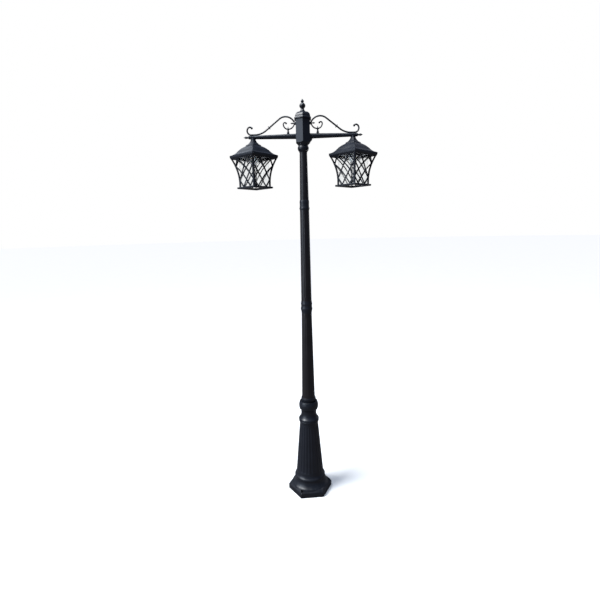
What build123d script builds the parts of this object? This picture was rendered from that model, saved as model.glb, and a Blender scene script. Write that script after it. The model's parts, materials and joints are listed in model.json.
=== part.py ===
from build123d import *
import os
from math import asin, atan2, cos, degrees, hypot, radians, sin, sqrt

# Two-headed garden street lamp post, modelled in millimetres with +Z up.
# The origin is on the ground, on the axis of the post. The arms run along X and the front is -Y.
# Three tube lengths stand on a cast base, and a cast head carries two arms, each with a hanging lantern.

# ---------------------------------------------------------------- driving dimensions
TOTAL_HEIGHT = 2200.0
ARM_Z = 2018.0
REACH = 260.8                  # post axis to lantern axis
LEFT_TURN = 3.2                # degrees each lantern hangs away from corner-to-the-front
RIGHT_TURN = -1.8
FOOT_TURN = 5.9                # degrees the foot is turned from the line of the arms

FOOT_RADIUS = 129.6            # across-corners radius of the hexagonal foot
FOOT_SIDE = 29.0               # height of the upright side of the foot
FOOT_TOP = 42.0                # where the sloping top of the foot meets the round pedestal
ANCHOR_PCD = 228.0
ANCHOR_COUNT = 3
ANCHOR_RADIUS = 4.5
SKIRT_FLUTES = 24
POLE_FLUTES = 12

BASE_TOP = 490.0
POLE_SEAT = 456.0              # the lower tube stands on this ledge inside the base
LOWER_JOINT = 1113.0
UPPER_JOINT = 1666.0
HEAD_SEAT = 1937.0             # underside of the head's neck
HEAD_BORE_TOP = 1982.0
SPIGOT_RADIUS = 17.0
RUNNING_GAP = 0.05
FIT_GAP = 0.1

HUB_APOTHEM = 36.5
HUB_WALL = 4.5
HUB_BOTTOM = 1973.0
HUB_TOP = 2098.0
CAP_SEAT = 2099.0
CAP_TOP = 2137.5

ARM_ROOT_FLATS = 25.0
ARM_END_FLATS = 16.6
ARM_END = 284.0
PAD_Z = 2009.0                 # flat pad under the arm that the lantern's neck turns against
NIPPLE_RADIUS = 5.0

S_ROD = 4.1
C_ROD = 3.3
SCROLL_ROOT = 64.0             # height of the scrolls' root above the arm

ROOF_NECK = PAD_Z - FIT_GAP
EAVE_Z = 1918.0
EAVE_HALF = 90.2
CAGE_TOP_HALF = 89.5
CAGE_FOOT_HALF = 59.5
CAGE_STRAIGHT_TOP = 1785.0
CAGE_FOOT = 1768.0
CAGE_WALL = 6.0
CORNER_BAR = 9.0
RAIL_BOTTOM = 1909.0
LATTICE_BAR = 5.6
RING_BOTTOM = 1759.0
RING_HALF = 68.0
RING_INNER = 48.8
GLASS = 3.0

TUBE_FOOT_RADIUS = 38.0        # outside radius of the lower tube where it stands in the base
BASE_BORE = TUBE_FOOT_RADIUS + FIT_GAP
M8_SCREW = 4.0                 # screw radii
M5_SCREW = 2.5
M4_SCREW = 2.0
SCREW_FIT = 0.1
SCREW_ANGLES = (90, 210, 330)  # three set screws at every joint of the post

TERMINAL_SCREW_HEIGHTS = (138, 162)

FAR = 400.0                    # longer than anything an outline has to be pushed through
OUTWARD = (Align.CENTER, Align.CENTER, Align.MIN)

os.makedirs("parts", exist_ok=True)


def save(piece, name):
    piece.part.label = name
    export_step(piece.part, f"parts/{name}.step")


def save_pair(piece, name):
    """Write a right-hand piece and its mirror image on the left arm."""
    save(piece, f"right_{name}")
    with BuildPart() as mirrored:
        mirror(piece.part, about=Plane.YZ)
    save(mirrored, f"left_{name}")


def save_both(piece, name):
    """Write a right-hand piece and its mirror image as one group of separate solids."""
    with BuildPart() as group:
        add(piece.part)
        mirror(piece.part, about=Plane.YZ)
    save(group, name)


def arm_flats(x):
    """Size across the flats of the tapered octagonal arm."""
    share = (x - HUB_APOTHEM) / (ARM_END - HUB_APOTHEM)
    return ARM_ROOT_FLATS + (ARM_END_FLATS - ARM_ROOT_FLATS) * share


def cut_flutes(count, foot, head, foot_radius, head_radius, depth, phase=0.0):
    """Cut round-ended flutes; foot and head are (radius, height) points on the tapered wall."""
    rise = head[1] - foot[1]
    lean = degrees(atan2(foot[0] - head[0], rise))
    foot_x = foot[0] + foot_radius - depth
    head_x = head[0] + head_radius - depth
    middle = ((foot_x + head_x) / 2, 0, (foot[1] + head[1]) / 2)
    length = hypot(rise, foot_x - head_x)
    with PolarLocations(0, count, start_angle=phase):
        with Locations(Location(middle, (0, -lean, 0))):
            if foot_radius == head_radius:
                Cylinder(foot_radius, length, mode=Mode.SUBTRACT)
            else:
                Cone(foot_radius, head_radius, length, mode=Mode.SUBTRACT)
        with Locations((head_x, 0, head[1])):
            Sphere(head_radius, mode=Mode.SUBTRACT)
        with Locations((foot_x, 0, foot[1])):
            Sphere(foot_radius, mode=Mode.SUBTRACT)


def radial(angle, distance, z):
    """Plane at a height and distance from the post's axis, facing outwards at an angle."""
    direction = Vector(cos(radians(angle)), sin(radians(angle)), 0)
    return Plane(origin=direction * distance + Vector(0, 0, z), z_dir=direction)


def cut_radial_holes(radius, z, angles, inner=0.0, outer=90.0):
    with Locations([radial(angle, inner, z) for angle in angles]):
        Cylinder(radius, outer - inner, align=OUTWARD, mode=Mode.SUBTRACT)


def grub_screws(radius, inner, places):
    """Socket set screws that point at the post's axis; places are (angle, height, outer) triples."""
    with BuildPart() as screws:
        for angle, z, outer in places:
            with Locations(radial(angle, inner, z)):
                Cylinder(radius, outer - inner, align=OUTWARD)
            with BuildSketch(radial(angle, outer - radius, z)) as socket:
                RegularPolygon(radius * 0.55, 6)
            extrude(socket.sketch, amount=radius + 1, mode=Mode.SUBTRACT)
    return screws


# ---------------------------------------------------------------- base casting
BASE_OUTLINE_TOP = [(53.5, 427), (55.0, 431), (57.9, 437), (57.4, 441.5), (58.4, 446), (56.2, 452)]
foot_plane = Plane(origin=(0, 0, 0), x_dir=(cos(radians(FOOT_TURN)), sin(radians(FOOT_TURN)), 0),
                   z_dir=(0, 0, 1))

with BuildPart() as base:
    # hexagonal foot: upright side, small chamfer line, then faces that slope up to the pedestal
    with BuildSketch(foot_plane):
        RegularPolygon(FOOT_RADIUS, 6)
    extrude(amount=FOOT_SIDE)
    chamfer(base.faces().sort_by(Axis.Z)[-1].edges(), 1.5)
    with BuildSketch(foot_plane.offset(FOOT_SIDE)):
        RegularPolygon(FOOT_RADIUS - 1.7, 6)
    with BuildSketch(foot_plane.offset(FOOT_TOP)):
        RegularPolygon(FOOT_RADIUS - 12.0, 6)
    loft()
    # round pedestal, base ring and skirt, turned in one outline
    with BuildSketch(Plane.XZ):
        with BuildLine():
            Polyline((0, FOOT_TOP - 4), (107, FOOT_TOP - 4), (106, FOOT_TOP + 0.5))
            ThreePointArc((106, FOOT_TOP + 0.5), (93.5, 59), (88.5, 76))
            Line((88.5, 76), (88.5, 80))
            ThreePointArc((88.5, 80), (90.2, 88), (88.0, 95.5))
            Line((88.0, 95.5), (85.5, 98.5))
            ThreePointArc((85.5, 98.5), (81.0, 107.5), (79.2, 120))
            Line((79.2, 120), (53.5, 420))
            Polyline([(53.5, 420)] + BASE_OUTLINE_TOP)
            ThreePointArc(BASE_OUTLINE_TOP[-1], (48.5, 463), (44.6, BASE_TOP))
            Polyline((44.6, BASE_TOP), (0, BASE_TOP), (0, FOOT_TOP - 4))
        make_face()
    revolve(axis=Axis.Z)
    cut_flutes(SKIRT_FLUTES, (78.3, 131), (54.6, 408), 9.0, 6.0, 1.9, phase=FOOT_TURN)
    # hollow inside: hexagonal pocket under the foot, tapered bell above it, bore for the lower tube
    with BuildSketch(foot_plane):
        RegularPolygon(FOOT_RADIUS - 10.0, 6)
        with PolarLocations(ANCHOR_PCD / 2, ANCHOR_COUNT):
            Circle(12.0, mode=Mode.SUBTRACT)
    extrude(amount=23, mode=Mode.SUBTRACT)
    with BuildSketch(Plane.XZ):
        with BuildLine():
            Polyline((0, -1), (97, -1), (97, 36), (82, 66), (80.5, 92), (71, 122), (46.5, 415),
                     (33, 440), (33, POLE_SEAT), (BASE_BORE, POLE_SEAT), (BASE_BORE, BASE_TOP + 1),
                     (0, BASE_TOP + 1), (0, -1))
        make_face()
    revolve(axis=Axis.Z, mode=Mode.SUBTRACT)
    with BuildSketch(foot_plane.offset(-1)):
        with PolarLocations(ANCHOR_PCD / 2, ANCHOR_COUNT):
            Circle(ANCHOR_RADIUS)
    extrude(amount=FOOT_TOP, mode=Mode.SUBTRACT)
    with BuildSketch(foot_plane.offset(FOOT_SIDE - 1)):
        with PolarLocations(ANCHOR_PCD / 2, ANCHOR_COUNT):
            Circle(9.0)
    extrude(amount=20, mode=Mode.SUBTRACT)
    cut_radial_holes(M8_SCREW, 474, SCREW_ANGLES)
    # flat boss that the terminal block is screwed to, at the back of the bell
    with BuildSketch(Plane.XY.offset(128)):
        with Locations((0, 66)):
            Rectangle(36, 14)
    extrude(amount=44)
    for z in TERMINAL_SCREW_HEIGHTS:
        cut_radial_holes(1.6, z, (90,), 40, 66)
save(base, "base_casting")

base_screws = grub_screws(M8_SCREW, BASE_BORE, [(angle, 474, 46.0) for angle in SCREW_ANGLES])
save(base_screws, "base_set_screws")

# ---------------------------------------------------------------- wiring parts inside the base
CABLE_WAY_FLOORS = (128, 166)  # the block's cable ways open at its foot and at its head
with BuildPart() as terminal_block:
    with BuildSketch(Plane.XZ.offset(-59)):
        with Locations((0, 150)):
            RectangleRounded(22, 40, 2)
    extrude(amount=16)
    fillet(terminal_block.edges().filter_by(Axis.Z), 1.0)
    with Locations([radial(90, 40, z) for z in TERMINAL_SCREW_HEIGHTS]):
        Cylinder(1.6, 30, align=OUTWARD, mode=Mode.SUBTRACT)
    for z in CABLE_WAY_FLOORS:
        with BuildSketch(Plane.XY.offset(z)):
            with Locations((0, 48)):
                with GridLocations(6.6, 0, 3, 1):
                    Circle(2.2)
        extrude(amount=6, mode=Mode.SUBTRACT)
save(terminal_block, "terminal_block")

with BuildPart() as terminal_screws:
    for z in TERMINAL_SCREW_HEIGHTS:
        with Locations(radial(90, 40.5, z)):
            Cylinder(3.0, 2.5, align=OUTWARD)
        with Locations(radial(90, 43, z)):
            Cylinder(1.55, 21, align=OUTWARD)
save(terminal_screws, "terminal_screws")

# ---------------------------------------------------------------- collars at the foot of the pole
with BuildPart() as cup:
    with BuildSketch(Plane.XZ):
        with BuildLine():
            Polyline((BASE_BORE, BASE_TOP), (44.0, BASE_TOP), (44.6, BASE_TOP + 3), (44.2, 497))
            ThreePointArc((44.2, 497), (47.6, 503), (52.6, 508.5))
            ThreePointArc((52.6, 508.5), (55.8, 527), (50.4, 553.5))
            ThreePointArc((50.4, 553.5), (49.2, 555), (47.8, 554))
            ThreePointArc((47.8, 554), (46.4, 546.5), (40.5, 544))
            Polyline((40.5, 544), (40.5, 561), (BASE_BORE, 561), (BASE_BORE, BASE_TOP))
        make_face()
    revolve(axis=Axis.Z)
save(cup, "cup_collar")

with BuildPart() as foot_ring:
    with BuildSketch(Plane.XZ):
        with BuildLine():
            Line((BASE_BORE, 561), (40.6, 561))
            ThreePointArc((40.6, 561), (42.3, 569), (41.0, 577.5))
            Polyline((41.0, 577.5), (BASE_BORE, 578.5), (BASE_BORE, 561))
        make_face()
    revolve(axis=Axis.Z)
save(foot_ring, "pole_foot_ring")

# ---------------------------------------------------------------- pole tubes and their couplers
LOWER_COLLAR = (1079.0, 1147.0)
UPPER_COLLAR = (1639.0, 1694.0)
COUPLER_RADIUS = 24.9
UPPER_COUPLER_RADIUS = 20.3
JOINT_SCREWS_LOW = [(angle, 1103, 31.4) for angle in SCREW_ANGLES]
JOINT_SCREWS_HIGH = [(angle, 1131, 30.6) for angle in SCREW_ANGLES]
UPPER_SCREWS_LOW = [(angle, 1650, 26.4) for angle in SCREW_ANGLES]
UPPER_SCREWS_HIGH = [(angle, 1684, 25.0) for angle in SCREW_ANGLES]


def turned(points):
    """Solid of revolution about the post's axis from (radius, height) points."""
    with BuildPart() as piece:
        with BuildSketch(Plane.XZ):
            with BuildLine():
                Polyline(points + points[:1])
            make_face()
        revolve(axis=Axis.Z)
    return piece.part


with BuildPart() as pole_lower:
    add(turned([(33, POLE_SEAT), (TUBE_FOOT_RADIUS, POLE_SEAT), (TUBE_FOOT_RADIUS, 578.5), (37.4, 580),
                (28.1, 1077), (28.0, 1079),
                (28.0, LOWER_JOINT), (25, LOWER_JOINT), (25, 1060), (33, 600)]))
    cut_flutes(POLE_FLUTES, (37.0, 600), (28.5, 1055), 6.5, 6.5, 0.9, phase=15)
    cut_radial_holes(M5_SCREW + SCREW_FIT, 1103, SCREW_ANGLES, 20, 35)
save(pole_lower, "pole_lower")

with BuildPart() as pole_middle:
    add(turned([(25, LOWER_JOINT), (28.65, LOWER_JOINT), (28.65, 1149), (24.9, 1637), (24.8, 1639),
                (24.8, UPPER_JOINT), (20.4, UPPER_JOINT), (20.4, 1610), (25, 1190)]))
    cut_flutes(POLE_FLUTES, (28.5, 1171), (25.1, 1617), 5.2, 5.2, 0.8, phase=15)
    cut_radial_holes(M5_SCREW + SCREW_FIT, 1131, SCREW_ANGLES, 20, 35)
    cut_radial_holes(M4_SCREW + SCREW_FIT, 1650, SCREW_ANGLES, 15, 30)
save(pole_middle, "pole_middle")

with BuildPart() as pole_upper:
    add(turned([(20.4, UPPER_JOINT), (23.4, UPPER_JOINT), (23.4, 1696), (19.8, 1930),
                (19.8, HEAD_SEAT - RUNNING_GAP), (SPIGOT_RADIUS, HEAD_SEAT - RUNNING_GAP),
                (SPIGOT_RADIUS, HEAD_BORE_TOP - 2), (SPIGOT_RADIUS - 1, HEAD_BORE_TOP - 1),
                (13, HEAD_BORE_TOP - 1), (13, 1925), (16.5, 1900), (20.4, 1740)]))
    cut_radial_holes(M4_SCREW + SCREW_FIT, 1684, SCREW_ANGLES, 15, 30)
save(pole_upper, "pole_upper")

with BuildPart() as lower_coupler:
    add(turned([(21.5, 1062), (COUPLER_RADIUS, 1062), (COUPLER_RADIUS, 1188), (21.5, 1188)]))
save(lower_coupler, "lower_coupler")

with BuildPart() as upper_coupler:
    add(turned([(17.3, 1615), (UPPER_COUPLER_RADIUS, 1615), (UPPER_COUPLER_RADIUS, 1735), (17.3, 1735)]))
save(upper_coupler, "upper_coupler")

with BuildPart() as lower_collar:
    low, high = LOWER_COLLAR
    with BuildSketch(Plane.XZ):
        with BuildLine():
            Polyline((28.0 + FIT_GAP, low), (28.7, low), (29.7, low + 9), (31.0, low + 15))
            ThreePointArc((31.0, low + 15), (32.4, low + 24), (30.6, low + 33))
            Line((30.6, low + 33), (30.3, low + 43))
            ThreePointArc((30.3, low + 43), (31.4, low + 51), (30.1, low + 59))
            Polyline((30.1, low + 59), (29.3, high), (28.65 + FIT_GAP, high),
                     (28.65 + FIT_GAP, LOWER_JOINT), (28.0 + FIT_GAP, LOWER_JOINT),
                     (28.0 + FIT_GAP, low))
        make_face()
    revolve(axis=Axis.Z)
    cut_radial_holes(M5_SCREW + SCREW_FIT, 1103, SCREW_ANGLES)
    cut_radial_holes(M5_SCREW + SCREW_FIT, 1131, SCREW_ANGLES)
save(lower_collar, "lower_joint_collar")

with BuildPart() as upper_collar:
    low, high = UPPER_COLLAR
    with BuildSketch(Plane.XZ):
        with BuildLine():
            Polyline((24.8 + FIT_GAP, low), (25.2, low), (25.4, low + 3))
            ThreePointArc((25.4, low + 3), (27.2, low + 11), (25.4, low + 19))
            Line((25.4, low + 19), (25.0, low + 33))
            ThreePointArc((25.0, low + 33), (25.7, low + 43), (24.6, low + 53))
            Polyline((24.6, low + 53), (23.9, high), (23.4 + FIT_GAP, high),
                     (23.4 + FIT_GAP, UPPER_JOINT), (24.8 + FIT_GAP, UPPER_JOINT),
                     (24.8 + FIT_GAP, low))
        make_face()
    revolve(axis=Axis.Z)
    cut_radial_holes(M4_SCREW + SCREW_FIT, 1650, SCREW_ANGLES)
    cut_radial_holes(M4_SCREW + SCREW_FIT, 1684, SCREW_ANGLES)
save(upper_collar, "upper_joint_collar")

save(grub_screws(M5_SCREW, COUPLER_RADIUS + RUNNING_GAP, JOINT_SCREWS_LOW + JOINT_SCREWS_HIGH),
     "lower_joint_screws")
save(grub_screws(M4_SCREW, UPPER_COUPLER_RADIUS + RUNNING_GAP, UPPER_SCREWS_LOW + UPPER_SCREWS_HIGH),
     "upper_joint_screws")

# ---------------------------------------------------------------- head: hub, cap and finial
ARM_WALL_HOLE = 8.0
CAP_SCREW_Z = 2092.0


def hexagon(apothem):
    """Hexagon with flat sides facing +X and -X and a corner to the front."""
    return RegularPolygon(apothem, 6, major_radius=False, rotation=30)


with BuildPart() as hub:
    with BuildSketch(Plane.XY.offset(HUB_BOTTOM)):
        hexagon(HUB_APOTHEM)
    extrude(amount=HUB_TOP - HUB_BOTTOM)
    fillet(hub.edges().filter_by(Axis.Z), 1.5)
    # the prism's lower end is turned to a cone, which runs into the round neck
    with BuildSketch(Plane.XZ):
        with BuildLine():
            Polyline((0, HUB_BOTTOM), (26.5, HUB_BOTTOM), (29.5, 1977), (43.5, 1990), (60, 1996),
                     (60, HUB_TOP + 1), (0, HUB_TOP + 1), (0, HUB_BOTTOM))
        make_face()
    revolve(axis=Axis.Z, mode=Mode.INTERSECT)
    with BuildSketch(Plane.XZ):
        with BuildLine():
            Polyline((0, HEAD_SEAT), (20.6, HEAD_SEAT), (22.8, 1941.5), (25.0, 1945))
            ThreePointArc((25.0, 1945), (29.2, 1957), (25.6, 1969))
            Polyline((25.6, 1969), (26.5, HUB_BOTTOM), (0, HUB_BOTTOM), (0, HEAD_SEAT))
        make_face()
    revolve(axis=Axis.Z)
    # corbels under the arm roots
    with BuildSketch(Plane.XZ):
        with BuildLine():
            corbel = Polyline((30, 1987), (36.2, 1987), (46.5, 1999), (48, 2001.5), (48, 2005.4),
                              (39.3, 2005.4), (39.3, 2003.6), (30, 2003.6), (30, 1987))
            mirror(corbel, about=Plane.YZ)
        make_face()
    extrude(amount=9, both=True)
    # wiring chamber, wire way through the floor, bore for the pole's spigot
    with BuildSketch(Plane.XY.offset(1994)):
        hexagon(HUB_APOTHEM - HUB_WALL)
    extrude(amount=HUB_TOP - 1994, mode=Mode.SUBTRACT)
    with Locations((0, 0, HEAD_SEAT - 1)):
        Cylinder(SPIGOT_RADIUS + RUNNING_GAP, HEAD_BORE_TOP + 1 - HEAD_SEAT, align=OUTWARD,
                 mode=Mode.SUBTRACT)
        Cylinder(12, 70, align=OUTWARD, mode=Mode.SUBTRACT)
    with Locations((0, 0, ARM_Z)):
        Cylinder(ARM_WALL_HOLE + FIT_GAP, 100, rotation=(0, 90, 0), mode=Mode.SUBTRACT)
    cut_radial_holes(M5_SCREW + SCREW_FIT, 1957, SCREW_ANGLES, 10, 40)
    cut_radial_holes(M4_SCREW + SCREW_FIT, CAP_SCREW_Z, (60, 120), 10, 60)
save(hub, "hub_body")

head_screws = grub_screws(M5_SCREW, SPIGOT_RADIUS + 0.3, [(angle, 1957, 28.0) for angle in SCREW_ANGLES])
save(head_screws, "head_set_screws")

with BuildPart() as gasket:
    with BuildSketch(Plane.XY.offset(HUB_TOP)):
        hexagon(HUB_APOTHEM - 0.6)
    extrude(amount=CAP_SEAT - HUB_TOP)
    with BuildSketch(Plane.XY.offset(HUB_TOP)):
        hexagon(HUB_APOTHEM - HUB_WALL + 0.2)
    extrude(amount=CAP_SEAT - HUB_TOP, mode=Mode.SUBTRACT)
save(gasket, "cap_gasket")

with BuildPart() as cap:
    # the same domed outline is pushed through in three directions to make a six-sided dome
    for turn, mode in ((0, Mode.ADD), (60, Mode.INTERSECT), (120, Mode.INTERSECT)):
        side = Vector(cos(radians(turn)), sin(radians(turn)), 0)
        with BuildSketch(Plane(origin=(0, 0, 0), x_dir=side, z_dir=side.rotate(Axis.Z, -90))):
            with BuildLine() as dome:
                Polyline((0, CAP_SEAT), (41.8, CAP_SEAT), (43.2, CAP_SEAT + 1.6), (43.2, 2105), (42.2, 2107))
                ThreePointArc((42.2, 2107), (39.6, 2109.2), (38.8, 2112))
                ThreePointArc((38.8, 2112), (35.2, 2125), (24.0, 2134.5))
                Polyline((24.0, 2134.5), (15, CAP_TOP), (0, CAP_TOP))
                mirror(about=Plane.YZ)
            make_face()
        extrude(amount=FAR / 4, both=True, mode=mode)
    with BuildSketch(Plane.XY.offset(CAP_SEAT - 11)):
        hexagon(HUB_APOTHEM - HUB_WALL - 0.15)
    extrude(amount=11)
    with BuildSketch(Plane.XY.offset(CAP_SEAT - 11)):
        hexagon(HUB_APOTHEM - HUB_WALL - 3.5)
    extrude(amount=27, mode=Mode.SUBTRACT)
    with Locations((0, 0, CAP_SEAT)):
        Cylinder(4.05, 60, align=OUTWARD, mode=Mode.SUBTRACT)
    cut_radial_holes(M4_SCREW + SCREW_FIT, CAP_SCREW_Z, (60, 120), 10, 40)
save(cap, "hub_cap")

with BuildPart() as cap_screws:
    for angle in (60, 120):
        with Locations(radial(angle, 28.6, CAP_SCREW_Z)):
            Cylinder(2.0, HUB_APOTHEM - 28.6, align=OUTWARD)
        with Locations(radial(angle, HUB_APOTHEM, CAP_SCREW_Z)):
            Cone(3.6, 2.6, 2.2, align=OUTWARD)
        with BuildSketch(radial(angle, HUB_APOTHEM + 1.0, CAP_SCREW_Z)):
            Rectangle(1.0, 4.4)
            Rectangle(4.4, 1.0)
        extrude(amount=2, mode=Mode.SUBTRACT)
save(cap_screws, "cap_screws")

with BuildPart() as finial:
    with BuildSketch(Plane.XZ):
        with BuildLine():
            Line((0, CAP_TOP), (13.6, CAP_TOP))
            ThreePointArc((13.6, CAP_TOP), (14.2, 2139.2), (13.2, 2140.6))
            ThreePointArc((13.2, 2140.6), (10.2, 2146), (8.9, 2153))
            Line((8.9, 2153), (9.4, 2155))
            ThreePointArc((9.4, 2155), (15.7, 2167), (7.4, 2179.0))
            ThreePointArc((7.4, 2179.0), (6.0, 2180.6), (6.4, 2182.4))
            ThreePointArc((6.4, 2182.4), (8.2, 2187.6), (5.6, 2193.6))
            ThreePointArc((5.6, 2193.6), (3.2, 2196.6), (1.2, TOTAL_HEIGHT - 0.6))
            Polyline((1.2, TOTAL_HEIGHT - 0.6), (0.5, TOTAL_HEIGHT), (0, TOTAL_HEIGHT), (0, CAP_TOP))
        make_face()
    revolve(axis=Axis.Z)
    with Locations((0, 0, CAP_TOP - 1)):
        Cylinder(3.4, 23, align=OUTWARD, mode=Mode.SUBTRACT)
save(finial, "finial")

with BuildPart() as finial_stud:
    with Locations((0, 0, 2109)):
        Cylinder(3.35, 48, align=OUTWARD)
    with BuildSketch(Plane.XY.offset(2108.5)):
        RegularPolygon(7.5, 6)
    extrude(amount=6.5)
save(finial_stud, "finial_stud")

# ---------------------------------------------------------------- arms
WIRE_WAY = 5.0
LEVEL = Plane(origin=(0, 0, ARM_Z), x_dir=(0, 1, 0), z_dir=(1, 0, 0))     # section plane of the arms


def octagon(flats):
    return RegularPolygon(flats / 2, 8, major_radius=False, rotation=22.5)


with BuildPart() as arm:
    with BuildSketch(LEVEL.offset(HUB_APOTHEM)):
        octagon(ARM_ROOT_FLATS)
    with BuildSketch(LEVEL.offset(ARM_END)):
        octagon(ARM_END_FLATS)
    loft()
    # root flange, threaded spigot through the hub's wall, rounded end
    with BuildSketch(LEVEL.offset(HUB_APOTHEM)):
        octagon(ARM_ROOT_FLATS + 3.6)
    extrude(amount=2.6)
    chamfer(arm.faces().filter_by(Axis.X).sort_by(Axis.X)[-1].edges(), 2.2)
    with Locations(Location((HUB_APOTHEM - 10.5, 0, ARM_Z), (0, 90, 0))):
        Cylinder(ARM_WALL_HOLE, 10.5, align=OUTWARD)
    # pad under the lantern, wire way, and the threaded hole for the nipple
    with Locations((REACH, 0, PAD_Z)):
        Cylinder(9.4, 6, align=OUTWARD)
    with Locations(Location((HUB_APOTHEM - 11, 0, ARM_Z), (0, 90, 0))):
        Cylinder(WIRE_WAY, REACH + 5 - HUB_APOTHEM + 11, align=OUTWARD, mode=Mode.SUBTRACT)
    with Locations((REACH, 0, PAD_Z - 1)):
        Cylinder(NIPPLE_RADIUS + RUNNING_GAP, ARM_Z - PAD_Z + 1, align=OUTWARD, mode=Mode.SUBTRACT)
save_pair(arm, "arm")

with BuildPart() as arm_nut:
    with BuildSketch(LEVEL.offset(HUB_APOTHEM - 10.3)):
        RegularPolygon(13.0, 6)
        Circle(ARM_WALL_HOLE + FIT_GAP, mode=Mode.SUBTRACT)
    extrude(amount=10.3 - HUB_WALL)
save_both(arm_nut, "arm_nuts")

with BuildPart() as arm_tip:
    with BuildSketch(Plane.XZ):
        with BuildLine():
            Polyline((ARM_END, 0), (ARM_END, 6.6))
            ThreePointArc((ARM_END, 6.6), (287.2, 4.9), (290.6, 4.4))
            ThreePointArc((290.6, 4.4), (293.0, 5.4), (295.0, 4.6))
            ThreePointArc((295.0, 4.6), (299.2, 6.0), (303.6, 4.2))
            ThreePointArc((303.6, 4.2), (307.4, 2.2), (310.5, 0.7))
            Polyline((310.5, 0.7), (311.0, 0), (ARM_END, 0))
        make_face()
    revolve(axis=Axis.X)
with BuildPart() as raised_tip:
    with Locations((0, 0, ARM_Z)):
        add(arm_tip.part)
save_both(raised_tip, "arm_tips")

# ---------------------------------------------------------------- scrollwork
S_CREST = (89.7, ARM_Z + 47.0)
S_CREST_RADIUS = 51.0
S_START_HEADING = 70.0
S_REST = (250.0, ARM_Z + 12.6)         # where the rod comes down onto the arm
S_REST_RADIUS = 95.0
S_CURL = ((20.5, 135.0), (12.0, 100.0))
C_CURL = ((33.0, 80.0), (25.0, 90.0), (8.0, 150.0))
BUD_TIP = 64.0
BALUSTER_X = 77.0


def heading_vector(angle):
    return (cos(radians(angle)), sin(radians(angle)))


rest_centre = (S_REST[0], S_REST[1] + S_REST_RADIUS)
centre_gap = hypot(rest_centre[0] - S_CREST[0], rest_centre[1] - S_CREST[1])
centre_slope = degrees(atan2(rest_centre[1] - S_CREST[1], rest_centre[0] - S_CREST[0]))
slope = centre_slope - degrees(asin((S_CREST_RADIUS + S_REST_RADIUS) / centre_gap))
straight_run = sqrt(centre_gap ** 2 - (S_CREST_RADIUS + S_REST_RADIUS) ** 2)
s_start = (S_CREST[0] - S_CREST_RADIUS * sin(radians(S_START_HEADING)),
           S_CREST[1] + S_CREST_RADIUS * cos(radians(S_START_HEADING)))
straight_start = (S_CREST[0] - S_CREST_RADIUS * sin(radians(slope)),
                  S_CREST[1] + S_CREST_RADIUS * cos(radians(slope)))


def rod(path, radius, ball):
    """Round rod swept along a path, with a ball at its far end."""
    with BuildPart() as piece:
        with BuildSketch(Plane(origin=path @ 0, z_dir=path % 0)):
            Circle(radius)
        sweep(path=path)
        with Locations(path @ 1):
            Sphere(ball)
    return piece.part


with BuildLine(Plane.XZ) as s_line:
    JernArc(s_start, heading_vector(S_START_HEADING), S_CREST_RADIUS, slope - S_START_HEADING)
    PolarLine(s_line.line @ 1, straight_run, direction=s_line.line % 1)
    JernArc(s_line.line @ 1, s_line.line % 1, S_REST_RADIUS, -slope)
    PolarLine(s_line.line @ 1, 20.0, direction=s_line.line % 1)
    for radius, sweep_angle in S_CURL:
        JernArc(s_line.line @ 1, s_line.line % 1, radius, sweep_angle)
with BuildLine(Plane.XZ) as c_line:
    JernArc((43.5, ARM_Z + 63.3), heading_vector(-C_CURL[0][1]), C_CURL[0][0], C_CURL[0][1])
    for radius, sweep_angle in C_CURL[1:]:
        JernArc(c_line.line @ 1, c_line.line % 1, radius, sweep_angle)

# turned bud that pins both scrolls to the side of the hub
with BuildPart() as bud:
    with BuildSketch(Plane.XZ):
        with BuildLine():
            Polyline((HUB_APOTHEM, 0), (HUB_APOTHEM, 8.0), (HUB_APOTHEM + 2, 8.0), (44.5, 6.4), (47.0, 3.4))
            ThreePointArc((47.0, 3.4), (49.6, 2.5), (52.0, 3.0))
            ThreePointArc((52.0, 3.0), (56.4, 4.0), (60.6, 2.2))
            Polyline((60.6, 2.2), (BUD_TIP - 0.4, 0.7), (BUD_TIP, 0), (HUB_APOTHEM, 0))
        make_face()
    revolve(axis=Axis.X)
with BuildPart() as raised_bud:
    with Locations((0, 0, ARM_Z + SCROLL_ROOT)):
        add(bud.part)

with BuildPart() as c_scroll:
    add(rod(c_line.line, C_ROD, 4.6))
    add(raised_bud.part, mode=Mode.SUBTRACT)
save_pair(c_scroll, "c_scroll")

with BuildPart() as s_scroll:
    add(rod(s_line.line, S_ROD, 5.7))
    add(raised_bud.part, mode=Mode.SUBTRACT)
    add(c_scroll.part, mode=Mode.SUBTRACT)
    add(arm.part, mode=Mode.SUBTRACT)
save_pair(s_scroll, "s_scroll")
save_both(raised_bud, "scroll_buds")

# clasp: a band round the straight of the scroll with a pointed leaf on either side
clasp_along = 68.0
clasp_heading = heading_vector(slope)
clasp_centre = Vector(straight_start[0] + clasp_along * clasp_heading[0], 0,
                      straight_start[1] + clasp_along * clasp_heading[1])
along = Vector(clasp_heading[0], 0, clasp_heading[1])
across = Vector(-clasp_heading[1], 0, clasp_heading[0])
with BuildPart() as clasp:
    with BuildSketch(Plane(origin=clasp_centre - along * 3.0, z_dir=along)):
        Circle(S_ROD + 1.3)
    extrude(amount=6.0)
    fillet(clasp.edges(), 0.8)
    for way in (across, across * -1):
        with Locations(Plane(origin=clasp_centre, z_dir=way)):
            Cone(3.2, 0.5, 10.0, align=OUTWARD)
    with BuildSketch(Plane(origin=clasp_centre - along * 12.0, z_dir=along)):
        Circle(S_ROD)
    extrude(amount=24.0, mode=Mode.SUBTRACT)
save_both(clasp, "scroll_clasps")

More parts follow.
